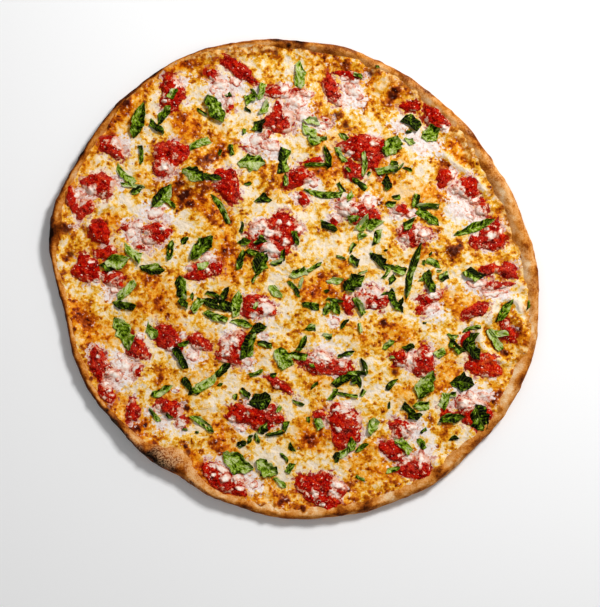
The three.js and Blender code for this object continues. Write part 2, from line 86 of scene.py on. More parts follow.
# Crushed tomato that is a node of its own: [x, y, length, width, turn of the length]
DOLLOPS = [
    [-101, 153, 26, 22, 95], [-150, 109, 21, 16, -35], [-103, 101, 31, 25, 65], [-161, 78, 26, 20, 10],
    [-160, 39, 22, 16, -50], [-171, 8, 25, 20, 0], [-150, 1, 25, 12, -15], [-114, 38, 27, 16, 0],
    [-78, 6, 23, 13, 0], [-130, -58, 22, 17, -80], [-104, -49, 27, 18, -60], [-160, -70, 27, 17, 100],
    [-102, -107, 22, 14, -40], [-31, -113, 42, 22, -8], [-58, -165, 37, 19, -32], [25, -70, 41, 20, -8],
    [42, -121, 34, 29, -60], [23, -174, 38, 29, 0], [107, -70, 27, 19, -60], [156, -71, 30, 18, -5],
    [149, -110, 34, 21, -35], [89, -124, 21, 14, -10], [82, -142, 24, 13, -50], [100, -156, 31, 18, -10],
    [-50, -58, 28, 24, 20], [-30, -23, 26, 20, -30], [64, -16, 26, 20, -10], [-16, 37, 40, 35, 0],
    [52, 56, 31, 20, -15], [-55, 78, 28, 22, -60], [3, 84, 24, 17, 30], [-12, 130, 25, 19, 20],
    [31, 157, 27, 13, -62], [-46, 173, 35, 11, -30], [58, 108, 39, 20, -5], [117, 133, 27, 13, -38],
    [143, 75, 23, 15, -35], [163, 35, 25, 21, 0], [99, 37, 27, 17, -25],
]

# Smaller tomato, fused to the cheese in the solids: the same columns.
SMALL_DOLLOPS = [
    [-182, 64, 22, 10, 100], [-173, 58, 17, 13, 50], [-156, 22, 18, 11, 20], [-78, -52, 18, 13, -20],
    [-154, -94, 15, 12, -30], [-133, -109, 18, 12, -70], [88, -66, 17, 13, 20], [45, -20, 17, 10, -80],
    [49, 90, 20, 12, -65], [64, 97, 16, 11, -80], [125, 84, 18, 13, 30], [176, 7, 18, 13, -30],
    [160, 8, 13, 9, 0], [168, -5, 24, 7, 0], [113, -15, 19, 12, 20], [150, -26, 20, 12, 20],
    [176, -42, 19, 11, -60], [-12, -87, 22, 8, -30], [-14, 154, 20, 10, 0], [97, 143, 16, 9, 10],
    [155, 59, 15, 10, -60], [-65, 9, 13, 11, 60], [88, 57, 14, 8, 10], [50, 166, 12, 9, 0],
    [-67, 169, 13, 9, -70], [8, 66, 13, 8, -85],
]

# Thin smears of tomato, too low to be solids: the same columns.
SMEARS = [
    [-36, 107, 12, 5, -30], [-53, 144, 12, 7, 75], [7, 154, 14, 6, -20], [-21, 121, 10, 7, 60],
    [-13, 143, 14, 8, 70], [41, 170, 18, 5, 0], [34, 48, 10, 7, -90], [-129, -75, 12, 8, 80],
    [-93, -117, 12, 9, -60], [126, -110, 13, 8, 0], [150, 31, 12, 10, -60], [105, -25, 10, 9, 0],
    [142, -50, 12, 8, 60], [21, -112, 10, 7, 0], [16, 98, 16, 5, 5], [-138, 43, 10, 6, 20],
    [-126, 27, 10, 7, -20], [27, 131, 8, 5, -40], [148, 66, 18, 8, -40],
]

# Bright flat slices of tomato: [x, y, radius]
FRESH = [[159, -70, 11], [119, -110, 6], [-105, 96, 6], [96, -140, 6]]

# ------------------------------------------------------------------------------------ what lies on top

# White curds of mozzarella: [x, y, length, width, turn]
CURDS = [
    [-107, 93, 9, 7, 20], [-167, 73, 10, 8, 40], [-178, 70, 7, 6, 0], [-135, 38, 10, 8, 60],
    [-120, 32, 8, 6, -20], [-115, 55, 15, 9, 10], [-128, 45, 8, 7, 0], [-163, -1, 4, 3, 0],
    [-146, 1, 4, 3, 30], [-148, -8, 9, 6, -20], [-71, 8, 4, 3, 0], [-72, 18, 8, 6, 30],
    [-127, -47, 6, 4, 0], [-144, -63, 5, 4, 60], [-139, -71, 12, 9, 40], [-147, -79, 13, 8, -30],
    [-155, -86, 7, 4, 0], [-152, -92, 4, 3, 0], [-83, -63, 9, 8, 0], [-92, -47, 6, 4, 40],
    [-98, -92, 5, 3, 0], [-112, -108, 6, 5, 0], [-60, 160, 14, 9, 20], [-66, 156, 6, 5, 0],
    [-55, 153, 8, 6, 50], [-48, 164, 9, 6, -20], [2, 147, 14, 12, 60], [8, 134, 13, 11, 20],
    [-8, 157, 10, 7, 30], [13, 152, 6, 5, 0], [-31, 115, 12, 9, 20], [-18, 110, 13, 9, -20],
    [-17, 126, 4, 3, 0], [49, 155, 14, 9, -40], [41, 166, 6, 4, 0], [22, 126, 10, 6, 20],
    [-27, 45, 10, 8, 30], [-20, 39, 12, 8, 10], [-19, 25, 15, 12, 0], [-4, 46, 5, 4, 0],
    [5, 42, 8, 6, 40], [-7, 31, 7, 6, 0], [-12, 48, 7, 5, 0], [43, 62, 14, 8, 10],
    [50, 57, 10, 7, -30], [62, 64, 11, 9, 60], [15, 80, 10, 7, -20], [2, 68, 7, 5, 0],
    [-50, -50, 9, 8, 0], [-55, -62, 6, 4, 20], [-39, -68, 8, 7, 0], [-25, -47, 7, 5, 0],
    [24, -64, 14, 7, -10], [42, -65, 8, 5, 20], [33, -35, 9, 7, 0], [-38, -103, 8, 5, -50],
    [-27, -98, 5, 4, 0], [-51, -115, 5, 4, 0], [-45, -123, 10, 5, -20], [-56, -164, 7, 7, 0],
    [-60, -156, 12, 5, -30], [-66, -161, 4, 3, 0], [-46, -163, 8, 7, 0], [-34, -170, 8, 6, 30],
    [-44, -172, 6, 4, 0], [37, -124, 8, 6, 0], [45, -113, 6, 3, 0], [36, -107, 7, 5, 20],
    [43, -104, 7, 5, 0], [37, -170, 13, 5, -30], [33, -176, 9, 4, 10], [17, -177, 10, 5, 80],
    [24, -186, 6, 4, 0], [96, -67, 14, 6, 85], [141, -102, 12, 9, 20], [148, -97, 10, 8, -30],
    [157, -96, 13, 6, 10], [95, -147, 7, 6, 0], [105, -148, 12, 5, 85], [97, -122, 9, 7, 0],
    [124, 125, 7, 5, 0], [132, 88, 8, 5, 85], [132, 72, 7, 5, 0], [163, 36, 10, 7, 10],
    [108, 38, 10, 7, -20], [90, 33, 7, 5, 0], [86, 52, 9, 4, 15], [97, 54, 7, 5, 0],
    [152, -4, 14, 7, -10], [165, -12, 19, 5, 5], [115, -13, 8, 6, 0], [113, -25, 10, 8, 20],
    [150, 66, 9, 5, 30], [145, 52, 8, 5, -40], [-168, 14, 6, 4, 20], [-108, 42, 7, 4, 0],
    [-86, 9, 6, 4, 10], [-101, -57, 6, 4, 40], [-162, -64, 5, 4, 0], [66, -22, 7, 5, 10],
    [58, -10, 6, 4, 60], [-33, -30, 7, 5, 20], [-25, -17, 6, 4, -30], [103, 43, 5, 4, 0],
    [171, 40, 6, 4, 60], [-96, 160, 6, 4, 40], [-106, 147, 5, 4, 0], [112, -62, 6, 4, 30],
    [66, 112, 6, 4, 0], [46, 104, 7, 4, 30],
]

# Basil shades: dark face, plain face, bright face and pale underside.
DARK, PLAIN, BRIGHT, PALE = 0.0, 0.36, 0.7, 1.0
RIB_STEP = 2.6           # between a leaf's side ribs

# Large pieces of basil, a node each: [x, y, length, width, turn, shade]
LEAVES = [
    [-128, 131, 30, 11, 72, PLAIN], [-83, 86, 19, 15, -35, BRIGHT], [-109, 69, 24, 12, 52, PLAIN],
    [-65, 141, 26, 13, -60, BRIGHT], [-35, 96, 23, 14, 0, PALE], [113, 121, 16, 14, 20, BRIGHT],
    [81, 110, 18, 14, 70, BRIGHT], [-76, 26, 26, 13, 50, PLAIN], [-142, -45, 30, 14, -65, BRIGHT],
    [-117, 9, 21, 10, -10, DARK], [-27, 14, 20, 13, 60, DARK], [50, -3, 20, 13, 40, DARK],
    [-46, -150, 28, 17, -25, PALE], [-22, -155, 21, 14, -30, PALE], [109, -87, 26, 14, 62, BRIGHT],
    [139, -86, 19, 15, -8, DARK], [154, -114, 22, 17, -65, DARK], [149, 43, 36, 8, 22, PLAIN],
    [99, 7, 48, 7, 75, DARK],
]

# Smaller cut basil: the same columns.
SHREDS = [
    [-107, 135, 15, 8, 45, PLAIN], [-113, 126, 14, 6, -35, DARK], [-100, 153, 9, 7, 60, PALE],
    [-78, 112, 18, 7, 22, PALE], [-127, 103, 15, 4, 90, DARK], [-139, 86, 20, 6, -42, PALE],
    [-133, 77, 20, 4, -8, PALE], [-130, 73, 9, 6, 20, DARK], [-68, 85, 16, 6, -5, DARK],
    [-103, 64, 13, 5, -35, PLAIN], [-76, 138, 9, 3, -30, DARK], [-54, 152, 5, 4, 20, DARK],
    [-27, 155, 14, 6, 75, PALE], [-36, 149, 9, 8, 20, PLAIN], [-33, 154, 8, 3, -60, PLAIN],
    [-24, 142, 12, 7, 65, PALE], [-38, 140, 6, 3, -30, DARK], [-29, 127, 10, 9, 70, DARK],
    [-51, 107, 9, 4, -80, DARK], [-61, 105, 5, 3, 70, DARK], [-41, 122, 5, 3, 80, DARK],
    [-8, 98, 20, 10, 85, DARK], [-7, 82, 10, 5, 85, PLAIN], [5, 168, 19, 10, 80, PALE],
    [15, 131, 12, 7, -15, PALE], [13, 123, 13, 8, -25, PALE], [17, 115, 10, 8, 0, PALE],
    [24, 116, 7, 4, 15, PLAIN], [41, 118, 8, 5, -40, BRIGHT], [39, 103, 14, 5, -60, PALE],
    [28, 101, 18, 6, 100, DARK], [20, 94, 22, 4, 0, PLAIN], [57, 95, 20, 5, 90, PALE],
    [45, 91, 5, 3, -40, PLAIN], [62, 87, 4, 3, 60, PLAIN], [54, 78, 14, 5, -35, DARK],
    [24, 72, 32, 6, -8, PLAIN], [39, 76, 9, 4, -55, DARK], [46, 68, 8, 5, 50, PALE],
    [-25, 67, 10, 10, 0, DARK], [-38, 79, 6, 3, 15, PLAIN], [53, 168, 8, 4, -20, BRIGHT],
    [97, 129, 16, 11, -35, DARK], [95, 122, 5, 3, 0, DARK], [96, 114, 7, 6, -50, PALE],
    [77, 90, 18, 7, 10, PALE], [83, 95, 7, 5, -30, DARK], [88, 93, 8, 2, 50, BRIGHT],
    [94, 91, 8, 3, -20, DARK], [77, 79, 10, 9, -60, DARK], [85, 68, 6, 5, 20, PLAIN],
    [80, 62, 8, 6, 0, BRIGHT], [-147, 14, 17, 13, -10, PALE], [-155, 10, 10, 6, -40, DARK],
    [-133, 22, 17, 8, -38, PALE], [-102, 24, 16, 6, 85, PLAIN], [-90, 32, 7, 6, 60, DARK],
    [-75, 12, 10, 6, 20, PALE], [-138, -9, 20, 8, 40, PALE], [-140, -22, 18, 7, -10, DARK],
    [-94, -7, 18, 10, -80, DARK], [-91, -19, 9, 6, -40, DARK], [-80, -21, 13, 8, 50, PALE],
    [-84, -14, 6, 3, 90, DARK], [-117, -43, 12, 9, -40, BRIGHT], [-91, -53, 9, 4, 20, PLAIN],
    [-94, -65, 20, 7, -60, DARK], [-61, 58, 28, 5, -60, PLAIN], [-43, 43, 9, 3, 80, DARK],
    [-41, 31, 8, 6, 30, DARK], [-28, 31, 10, 5, 20, DARK], [-26, 34, 6, 5, -60, BRIGHT],
    [2, 34, 12, 5, -75, PLAIN], [-34, 22, 12, 5, -15, PLAIN], [-43, 16, 16, 6, 75, PLAIN],
    [-14, 14, 10, 5, 15, PLAIN], [-9, 20, 9, 4, 85, DARK], [-32, 1, 9, 3, 55, PLAIN],
    [4, 6, 13, 8, 10, PALE], [16, 10, 16, 4, 32, PLAIN], [6, -3, 10, 3, 75, PALE],
    [0, -8, 16, 4, -55, PLAIN], [-15, -10, 12, 8, -60, PALE], [34, -1, 12, 6, -5, PALE],
    [39, 18, 8, 2, -15, PALE], [50, 16, 9, 7, -35, DARK], [57, 6, 8, 2, 20, PALE],
    [48, 26, 9, 4, 60, PLAIN], [29, 43, 14, 6, -25, DARK], [49, 50, 9, 7, 0, BRIGHT],
    [57, 46, 14, 8, 50, PALE], [66, 46, 13, 9, 25, BRIGHT], [56, 36, 7, 6, 30, PALE],
    [69, 35, 12, 7, 80, PLAIN], [14, -22, 14, 6, -8, DARK], [28, -25, 10, 7, 60, PLAIN],
    [35, -23, 12, 7, -70, PLAIN], [34, -17, 14, 3, -10, PLAIN], [27, -10, 4, 3, 0, PLAIN],
    [42, -37, 9, 4, 60, DARK], [55, -40, 8, 3, -75, PALE], [54, -22, 16, 6, -60, PALE],
    [14, -40, 8, 6, 0, PLAIN], [28, -47, 7, 6, 0, PLAIN], [7, -53, 14, 5, 60, PLAIN],
    [-31, -22, 6, 4, 60, PALE], [-44, -37, 17, 6, -18, BRIGHT], [-30, -40, 12, 9, 20, DARK],
    [-37, -55, 20, 12, 80, DARK], [-24, -54, 12, 5, -10, DARK], [-9, -65, 18, 13, -60, PALE],
    [3, -63, 16, 6, -10, BRIGHT], [43, -62, 14, 4, 15, DARK], [-46, -21, 20, 8, 80, BRIGHT],
    [-62, -20, 26, 10, -10, DARK], [-57, -12, 11, 6, 75, DARK], [-67, -13, 12, 4, -20, DARK],
    [-64, -30, 20, 6, -20, PLAIN], [101, 65, 11, 6, 80, DARK], [110, 60, 20, 5, 0, PLAIN],
    [110, 51, 20, 10, -38, BRIGHT], [95, 46, 10, 9, 30, PLAIN], [71, 16, 15, 10, -50, DARK],
    [78, 10, 14, 5, -15, PLAIN], [76, 5, 10, 4, 60, PLAIN], [88, 8, 10, 8, -20, PLAIN],
    [81, 0, 7, 6, 45, DARK], [76, -12, 9, 3, 10, DARK], [84, -18, 20, 7, -62, DARK],
    [88, -19, 8, 4, 70, DARK], [115, 14, 12, 7, -25, BRIGHT], [107, 14, 4, 3, 80, PLAIN],
    [107, 2, 8, 5, 60, BRIGHT], [112, -2, 18, 7, -75, DARK], [124, 2, 8, 7, 30, PLAIN],
    [120, 7, 4, 2, 0, PLAIN], [148, 4, 14, 10, -30, DARK], [174, -26, 20, 8, 60, PLAIN],
    [193, -21, 8, 3, 80, PLAIN], [169, -44, 16, 6, -5, PALE], [166, -50, 20, 7, -58, PALE],
    [147, -41, 15, 4, 15, PLAIN], [131, -47, 8, 5, -10, PALE], [134, -56, 14, 7, -40, DARK],
    [147, -48, 9, 7, 60, DARK], [148, -57, 18, 10, -55, DARK], [78, -53, 10, 6, 30, BRIGHT],
    [95, -56, 9, 6, 25, DARK], [121, -61, 9, 8, 30, BRIGHT], [108, -36, 3, 2, 0, DARK],
    [76, 24, 3, 2, 0, DARK], [113, 21, 3, 2, 40, DARK], [69, 175, 3, 2, 0, DARK],
    [-109, -92, 18, 7, 30, BRIGHT], [-88, -86, 12, 7, -60, DARK], [-82, -92, 9, 7, 0, DARK],
    [-73, -85, 20, 8, 30, PALE], [-115, -112, 14, 4, -50, PLAIN], [-103, -113, 6, 4, -30, BRIGHT],
    [-90, -124, 4, 2, 0, DARK], [-80, -126, 3, 2, 0, DARK], [-75, -119, 22, 7, -35, PALE],
    [-58, -75, 15, 7, 50, DARK], [-31, -77, 12, 4, 20, PLAIN], [-17, -79, 5, 4, 0, DARK],
    [-61, -87, 4, 3, 0, DARK], [17, -88, 8, 3, 40, DARK], [15, -71, 4, 4, 0, BRIGHT],
    [-40, -94, 10, 5, -40, DARK], [-48, -97, 5, 4, 80, DARK], [-28, -99, 18, 13, 10, DARK],
    [4, -102, 10, 3, -20, PLAIN], [-12, -107, 6, 4, 70, PALE], [-25, -124, 9, 8, 45, DARK],
    [-16, -127, 15, 4, 10, DARK], [-7, -121, 8, 5, 70, DARK], [-36, -132, 7, 4, 80, DARK],
    [-30, -131, 9, 4, -65, PLAIN], [-43, -136, 8, 6, 30, DARK], [-22, -161, 11, 5, -5, DARK],
    [-12, -168, 12, 5, -45, PALE], [-2, -139, 7, 5, -60, DARK], [-8, -147, 9, 4, -40, DARK],
    [-3, -156, 9, 6, 60, PLAIN], [21, -119, 9, 8, -70, PALE], [12, -116, 5, 3, 90, DARK],
    [66, -121, 13, 9, 80, PALE], [40, -84, 16, 7, 30, DARK], [52, -83, 11, 9, -80, DARK],
    [52, -77, 16, 4, 0, PLAIN], [58, -72, 14, 5, -75, DARK], [32, -95, 11, 5, 60, PLAIN],
    [44, -95, 18, 3, -10, PLAIN], [57, -94, 6, 4, 60, BRIGHT], [36, -147, 8, 7, 60, DARK],
    [41, -143, 12, 6, 30, PALE], [48, -137, 11, 8, 80, BRIGHT], [56, -139, 12, 4, 35, PLAIN],
    [55, -164, 8, 3, -25, PLAIN], [124, -100, 13, 8, 70, PALE], [131, -95, 6, 5, 0, PLAIN],
    [106, -105, 12, 8, 10, PALE], [95, -107, 12, 6, -35, DARK], [100, -113, 11, 6, 0, DARK],
    [130, -115, 18, 8, 0, PLAIN], [132, -131, 7, 4, 10, DARK], [87, -134, 8, 4, -10, PALE],
    [92, -138, 14, 8, -45, PALE], [105, -136, 10, 6, -60, PLAIN], [107, -125, 6, 3, 30, DARK],
    [82, -157, 11, 4, 12, BRIGHT], [79, -104, 6, 2, 85, PLAIN], [81, -87, 12, 5, 50, DARK],
    [81, -64, 4, 3, 0, BRIGHT],
]

# Brown creases where the melt folded over: points along each. Their brown is partly real browning and partly
# painted shade in the crease.
FOLDS = [
    [[62, 79], [72, 68], [71, 56], [67, 46]], [[160, -42], [165, -54], [174, -62]],
    [[120, 100], [127, 93], [137, 85], [146, 80]],
    [[107, 148], [120, 140], [128, 128], [133, 116], [141, 108]],
    [[182, 44], [180, 30], [183, 12], [190, 0]], [[70, -128], [78, -140]], [[-92, -104], [-76, -115]],
    [[-88, 160], [-72, 175], [-62, 181]],
]

# Pale lips where the melt folded up: points along each.
LIPS = [
    [[-165, 38], [-170, 47], [-165, 55], [-152, 62]], [[152, -40], [155, -53], [163, -62], [173, -67]],
    [[160, -36], [165, -22], [173, -15], [184, -18], [187, -25]], [[-189, 33], [-195, 22], [-193, 12]],
    [[125, 103], [133, 95], [143, 90]], [[150, 83], [158, 72]],
]

# ------------------------------------------------------------------------------------ how it baked

# Soft golden, oily areas: [x, y, radius, strength]
GOLDEN = [
    [-65, 110, 14, 0.8], [-75, 60, 16, 0.8], [-130, -135, 14, 0.8], [90, -100, 14, 0.8], [-148, 48, 14, 0.7],
    [-55, 22, 18, 0.9], [-10, 64, 12, 0.8], [18, -8, 14, 0.6], [45, 5, 12, 0.6], [90, -37, 16, 0.7],
    [-170, -40, 14, 0.8], [-60, -132, 12, 0.7], [-62, -121, 10, 0.7], [12, -123, 11, 0.8],
    [15, -134, 9, 0.7], [20, 88, 10, 0.7], [130, 97, 16, 0.7], [118, 70, 16, 0.5], [-50, 5, 14, 0.8],
    [80, 75, 16, 0.4], [130, -20, 14, 0.5], [60, -55, 14, 0.5], [-20, -90, 14, 0.4], [60, -160, 16, 0.6],
    [-100, -75, 14, 0.5], [-120, -20, 12, 0.4], [-85, 125, 14, 0.6], [70, 140, 16, 0.6],
]

# Creamy areas that hardly browned: the same columns.
CREAMY = [
    [-182, -55, 9, 0.8], [-165, -100, 9, 0.7], [117, -148, 12, 0.8], [150, -128, 12, 0.7], [15, 55, 20, 0.9],
    [-40, 62, 12, 0.7], [10, 20, 16, 0.7], [-90, 45, 12, 0.5], [120, -35, 12, 0.4],
    [75, 35, 14, 0.6], [10, -100, 14, 0.6], [-60, -40, 12, 0.5], [-110, -130, 14, 0.5], [60, -100, 14, 0.4],
    [-140, 60, 10, 0.4], [110, 90, 12, 0.4],
]

# White sheets of mozzarella that stayed moist round the tomato: [x, y, radius]
WHITE = [
    [-62, 160, 9], [-50, 158, 8], [-57, 150, 6], [-35, 113, 8], [-25, 112, 9], [-20, 105, 6], [-28, 149, 9],
    [-4, 141, 8], [3, 149, 11], [5, 134, 11], [25, 127, 6], [45, 155, 10], [52, 149, 8], [40, 146, 7],
    [-141, 111, 8], [-130, 36, 9], [-118, 56, 9], [-105, 50, 7], [-122, 27, 6], [-136, 46, 5], [-172, 69, 7],
    [-107, 92, 6], [-93, 165, 6], [-31, 41, 6], [-20, 37, 8], [86, 128, 7], [99, 115, 7], [107, 109, 8],
    [116, 108, 7], [130, 78, 6], [135, 69, 8], [143, 60, 9], [150, 52, 9], [137, 56, 8], [40, 60, 9],
    [46, 54, 6], [34, 53, 5], [14, 80, 6], [108, 38, 7], [92, 35, 5], [-150, -8, 8], [-145, -72, 9],
    [-137, -78, 9], [-152, -85, 8], [-131, -71, 7], [-145, -83, 8], [-84, -63, 8], [-51, -47, 8],
    [-55, -57, 5], [-40, -68, 6], [-118, -108, 5], [-108, -120, 7], [-94, -122, 5], [-60, -155, 7],
    [-41, -163, 8], [-33, -171, 7], [-35, -103, 5], [-50, -118, 5], [22, -63, 9], [42, -65, 6], [60, -14, 9],
    [70, -12, 6], [116, -25, 7], [115, -12, 6], [99, -62, 6], [96, -71, 6], [139, -95, 9], [150, -96, 9],
    [144, -103, 7], [130, -103, 5], [100, -126, 9], [90, -128, 7], [109, -145, 7], [95, -147, 5],
    [34, -170, 7], [18, -178, 5], [34, -179, 5], [41, -108, 5], [51, -113, 5], [150, -4, 8], [163, -10, 8],
    [175, -12, 7], [-24, -26, 8], [-70, 16, 6], [-145, 78, 5], [82, 55, 5],
]

# Browned cheese: [x, y, radius, strength]
BROWNED = [
    [174, -41, 8, 1.5], [172, -33, 5, 1.2],
    [-74, 95, 8, 1.1], [-90, 93, 6, 0.5], [-90, 70, 11, 1.8], [-77, 72, 9, 1.6],
    [-19, 84, 9, 0.7], [36, 135, 7, 0.7], [86, 162, 5, 0.6], [171, -58, 9, 0.9], [160, -42, 6, 0.7],
    [170, -95, 6, 0.7], [173, -78, 5, 0.5], [-10, 66, 6, 0.5], [-52, 18, 8, 0.5], [74, -36, 3, 0.8],
    [-67, -136, 4, 0.6], [15, -133, 5, 0.5], [132, 23, 8, 0.8], [140, 88, 6, 0.3], [71, 61, 4, 0.6],
    [-99, -148, 12, 0.5], [-83, -158, 5, 0.7], [114, -116, 4, 0.6],
    [14, 164, 4, 0.6], [-75, 125, 4, 0.6],
]

# Charred dots: [x, y, radius]
CHARRED = [
    [-139, 146, 2.6], [-188, 40, 4], [-184, 21, 2.6], [-123, 146, 2], [64, 170, 3], [43, 127, 3],
    [80, 152, 3], [-15, 187, 3], [-4, 193, 3], [83, -77, 2], [8, -190, 2.4], [48, -196, 3],
    [195, -73, 2.6], [189, -87, 2.6], [133, -157, 3], [-127, -142, 3], [-116, -143, 3], [-87, -142, 2.4],
    [-138, -128, 2.4], [-154, -108, 2.4], [132, 23, 4], [-92, 69, 2.2], [36, 136, 3], [74, -36, 1.8],
]

# Parts of the rim that baked darker: [x, y, radius]
TOASTED = [
    [-112, -144, 9], [-100, -149, 8], [-90, -152, 6], [-197, 36, 8], [-190, 44, 5], [-14, 190, 8],
    [5, 194, 6], [-130, 148, 6], [-142, 140, 5], [40, -192, 7], [60, -187, 6], [120, -160, 7], [190, -84, 6],
]

# How far in the dough shows past its usual share of the rim: [turn, change, spread in degrees]
BARE = [[350, 0.2, 30], [105, 0.5, 9], [40, 0.3, 20], [313, -0.6, 20], [200, -0.3, 14]]

# How dark the rim baked round its edge: [turn, change, spread in degrees]
RIM_BAKE = [
    [0, -0.08, 40], [90, -0.02, 14], [108, -0.12, 8], [128, 0.06, 10], [180, 0.04, 14], [172, 0.1, 4],
    [222, 0.12, 12], [236, -0.12, 6], [262, -0.08, 16], [285, -0.05, 12], [316, -0.04, 14],
]
PALE_SIDE = 350          # turn of the side toward the key light, which browned least; colour darkens away from it partly as painted shade

# Flour left on the rim: [turn, strength, spread in degrees]
FLOURED = [[236, 1.0, 9], [30, 0.5, 35]]

# ------------------------------------------------------------------------------------ view and light

VIEW_SPAN = 0.5005       # metres seen along the picture's longer side
VIEW_MIDDLE = (0.0051, -0.0200, 0.010)            # metres
LENS = 100               # mm
SENSOR = 36              # mm

# [name, place and size in metres, watts]
LAMPS = [["key", (0.62, 0.72, 1.05), 0.28, 15.0], ["fill", (-0.9, -0.5, 1.4), 1.4, 2.6]]
SKY_STRENGTH = 0.23
FLOOR_SIZE = 6           # metres
FLOOR_GAP = 0.0004       # metres of air under the crust

# ------------------------------------------------------------------------------------ looks

def linear(code):
    """An sRGB hex colour as the linear colour that Blender's sockets take."""
    parts = [int(code[i:i + 2], 16) / 255 for i in (1, 3, 5)]
    return [p / 12.92 if p <= 0.04045 else ((p + 0.055) / 1.055) ** 2.4 for p in parts] + [1.0]


def add(tree, kind, inputs=(), stops=(), **settings):
    """Adds a node. Inputs gives each socket a value or the socket that feeds it, and stops a ramp's colours.

    Mix takes its factor and two colours at 0, 6 and 7, and Map Range its two spans at 1, 2 and 3, 4.
    """
    made = tree.nodes.new(kind)
    for key, value in settings.items():
        setattr(made, key, value)
    for key, value in dict(inputs).items():
        if isinstance(value, bpy.types.NodeSocket):
            tree.links.new(value, made.inputs[key])
        else:
            made.inputs[key].default_value = value
    for i, (place, code) in enumerate(stops):
        stop = made.color_ramp.elements[i] if i < 2 else made.color_ramp.elements.new(place)
        stop.position = place
        stop.color = linear(code)
    return made


# ------------------------------------------------------------------------------------ small helpers

def bell(t):
    return np.exp(-0.5 * t * t)


def smooth(t):
    t = np.clip(t, 0, 1)
    return t * t * (3 - 2 * t)


def turn_between(a, b):
    return (a - b + 540) % 360 - 180


def swelled(base, turn, rows):
    """The base with a soft swell at each row's turn: [turn, change, spread in degrees]."""
    for at, change, spread in rows:
        base = base + change * bell(turn_between(turn, at) / spread)
    return base


def laid(place, along, across):
    """Points given along and across a place [x, y, length, width, turn], as they lie when seen from above."""
    cosine, sine = math.cos(math.radians(place[4])), math.sin(math.radians(place[4]))
    return place[0] + along * cosine - across * sine, place[1] + along * sine + across * cosine


def draws(seed):
    """A repeatable row of draws between 0 and 1, the same as the solids were shaped with."""
    state = seed * 7919 + 17
    while True:
        state = (state * 1664525 + 1013904223) % 2 ** 32
        yield state / 2 ** 32


def draw_at(i, j, seed):
    """A repeatable draw between 0 and 1 for each crossing of a lattice."""
    mixed = (i.astype(np.int64) * 374761393 + j.astype(np.int64) * 668265263 + seed * 974711) & 0xFFFFFFFF
    mixed = ((mixed ^ (mixed >> 13)) * 1274126177) & 0xFFFFFFFF
    return ((mixed ^ (mixed >> 16)) & 0xFFFF) / 65535


def lumps(x, y, size, seed):
    """Smooth lumps and hollows about size mm across, from -1 to 1. Each seed lays them out another way."""
    turn = 0.7 * seed
    u = (x * math.cos(turn) - y * math.sin(turn)) / size
    v = (x * math.sin(turn) + y * math.cos(turn)) / size
    i, j = np.floor(u), np.floor(v)
    fu, fv = smooth(u - i), smooth(v - j)
    low = draw_at(i, j, seed) * (1 - fu) + draw_at(i + 1, j, seed) * fu
    high = draw_at(i, j + 1, seed) * (1 - fu) + draw_at(i + 1, j + 1, seed) * fu
    return 2 * (low * (1 - fv) + high * fv) - 1


def nearest_seed(x, y, size, seed):
    """Distance to the nearest of many scattered seeds, as a share of size mm, and that seed's own draw."""
    u, v = x / size, y / size
    best, own = np.full(np.shape(x), 9.0), np.zeros(np.shape(x))
    for i in (-1, 0, 1):
        for j in (-1, 0, 1):
            a, b = np.floor(u) + i, np.floor(v) + j
            distance = np.hypot(u - a - draw_at(a, b, seed), v - b - draw_at(a, b, seed + 1))
            own = np.where(distance < best, draw_at(a, b, seed + 2), own)
            best = np.minimum(best, distance)
    return best, own


def patches(x, y, rows):
    """How strongly soft round patches cover each point. Rows are [x, y, radius], or a strength past those."""
    cover = np.zeros(np.shape(x))
    for px, py, radius, *strength in rows:
        cover = np.maximum(cover, (strength or [1])[0] * bell(1.3 * np.hypot(x - px, y - py) / radius))
    return cover


# ------------------------------------------------------------------------------------ height fields, mm

def edge_radius(turn):
    """The disc's own radius at a turn: a slight oval with swells and a waver."""
    radius = MEAN_RADIUS + OVAL_REACH * np.cos(np.radians(2 * (turn - OVAL_TURN)))
    waver = np.sin(np.radians(11 * turn)) + 0.7 * np.sin(np.radians(19 * turn + 40))
    return swelled(radius, turn, EDGE_SWELLS) + EDGE_WAVER * waver


def rim_width(turn):
    width = RIM_WIDTH + RIM_WIDTH_SWING * np.cos(np.radians(turn - RIM_SWING_TURN))
    width = swelled(width, turn, [[at, wider, spread] for at, wider, _, spread in RIM_BUBBLES])
    return width + 0.6 * np.sin(np.radians(11 * turn + 60))


def rim_height(turn):
    height = RIM_HEIGHT + 0.9 * np.sin(np.radians(5 * turn)) + 0.6 * np.sin(np.radians(13 * turn + 80))
    return swelled(height, turn, [[at, higher, spread] for at, _, higher, spread in RIM_BUBBLES])


# The solids' edge has a point every 4 degrees, and the origin is the middle of its box.
OUTLINE_TURNS = np.arange(0, 360, 4.0)
OUTLINE_X = edge_radius(OUTLINE_TURNS) * np.cos(np.radians(OUTLINE_TURNS))
OUTLINE_Y = edge_radius(OUTLINE_TURNS) * np.sin(np.radians(OUTLINE_TURNS))
CENTRE_X = (OUTLINE_X.max() + OUTLINE_X.min()) / 2
CENTRE_Y = (OUTLINE_Y.max() + OUTLINE_Y.min()) / 2


def turn_of(x, y):
    """A point's turn round the disc's own centre."""
    return np.degrees(np.arctan2(y + CENTRE_Y, x + CENTRE_X))


def at_turn(turn, reach):
    """Points at a turn and reach round the disc's own centre."""
    return reach * np.cos(np.radians(turn)) - CENTRE_X, reach * np.sin(np.radians(turn)) - CENTRE_Y


def inset_share(x, y):
    """How far in from the edge a point lies, as a share of the rim's width there."""
    turn = turn_of(x, y)
    return (edge_radius(turn) - np.hypot(x + CENTRE_X, y + CENTRE_Y)) / rim_width(turn)


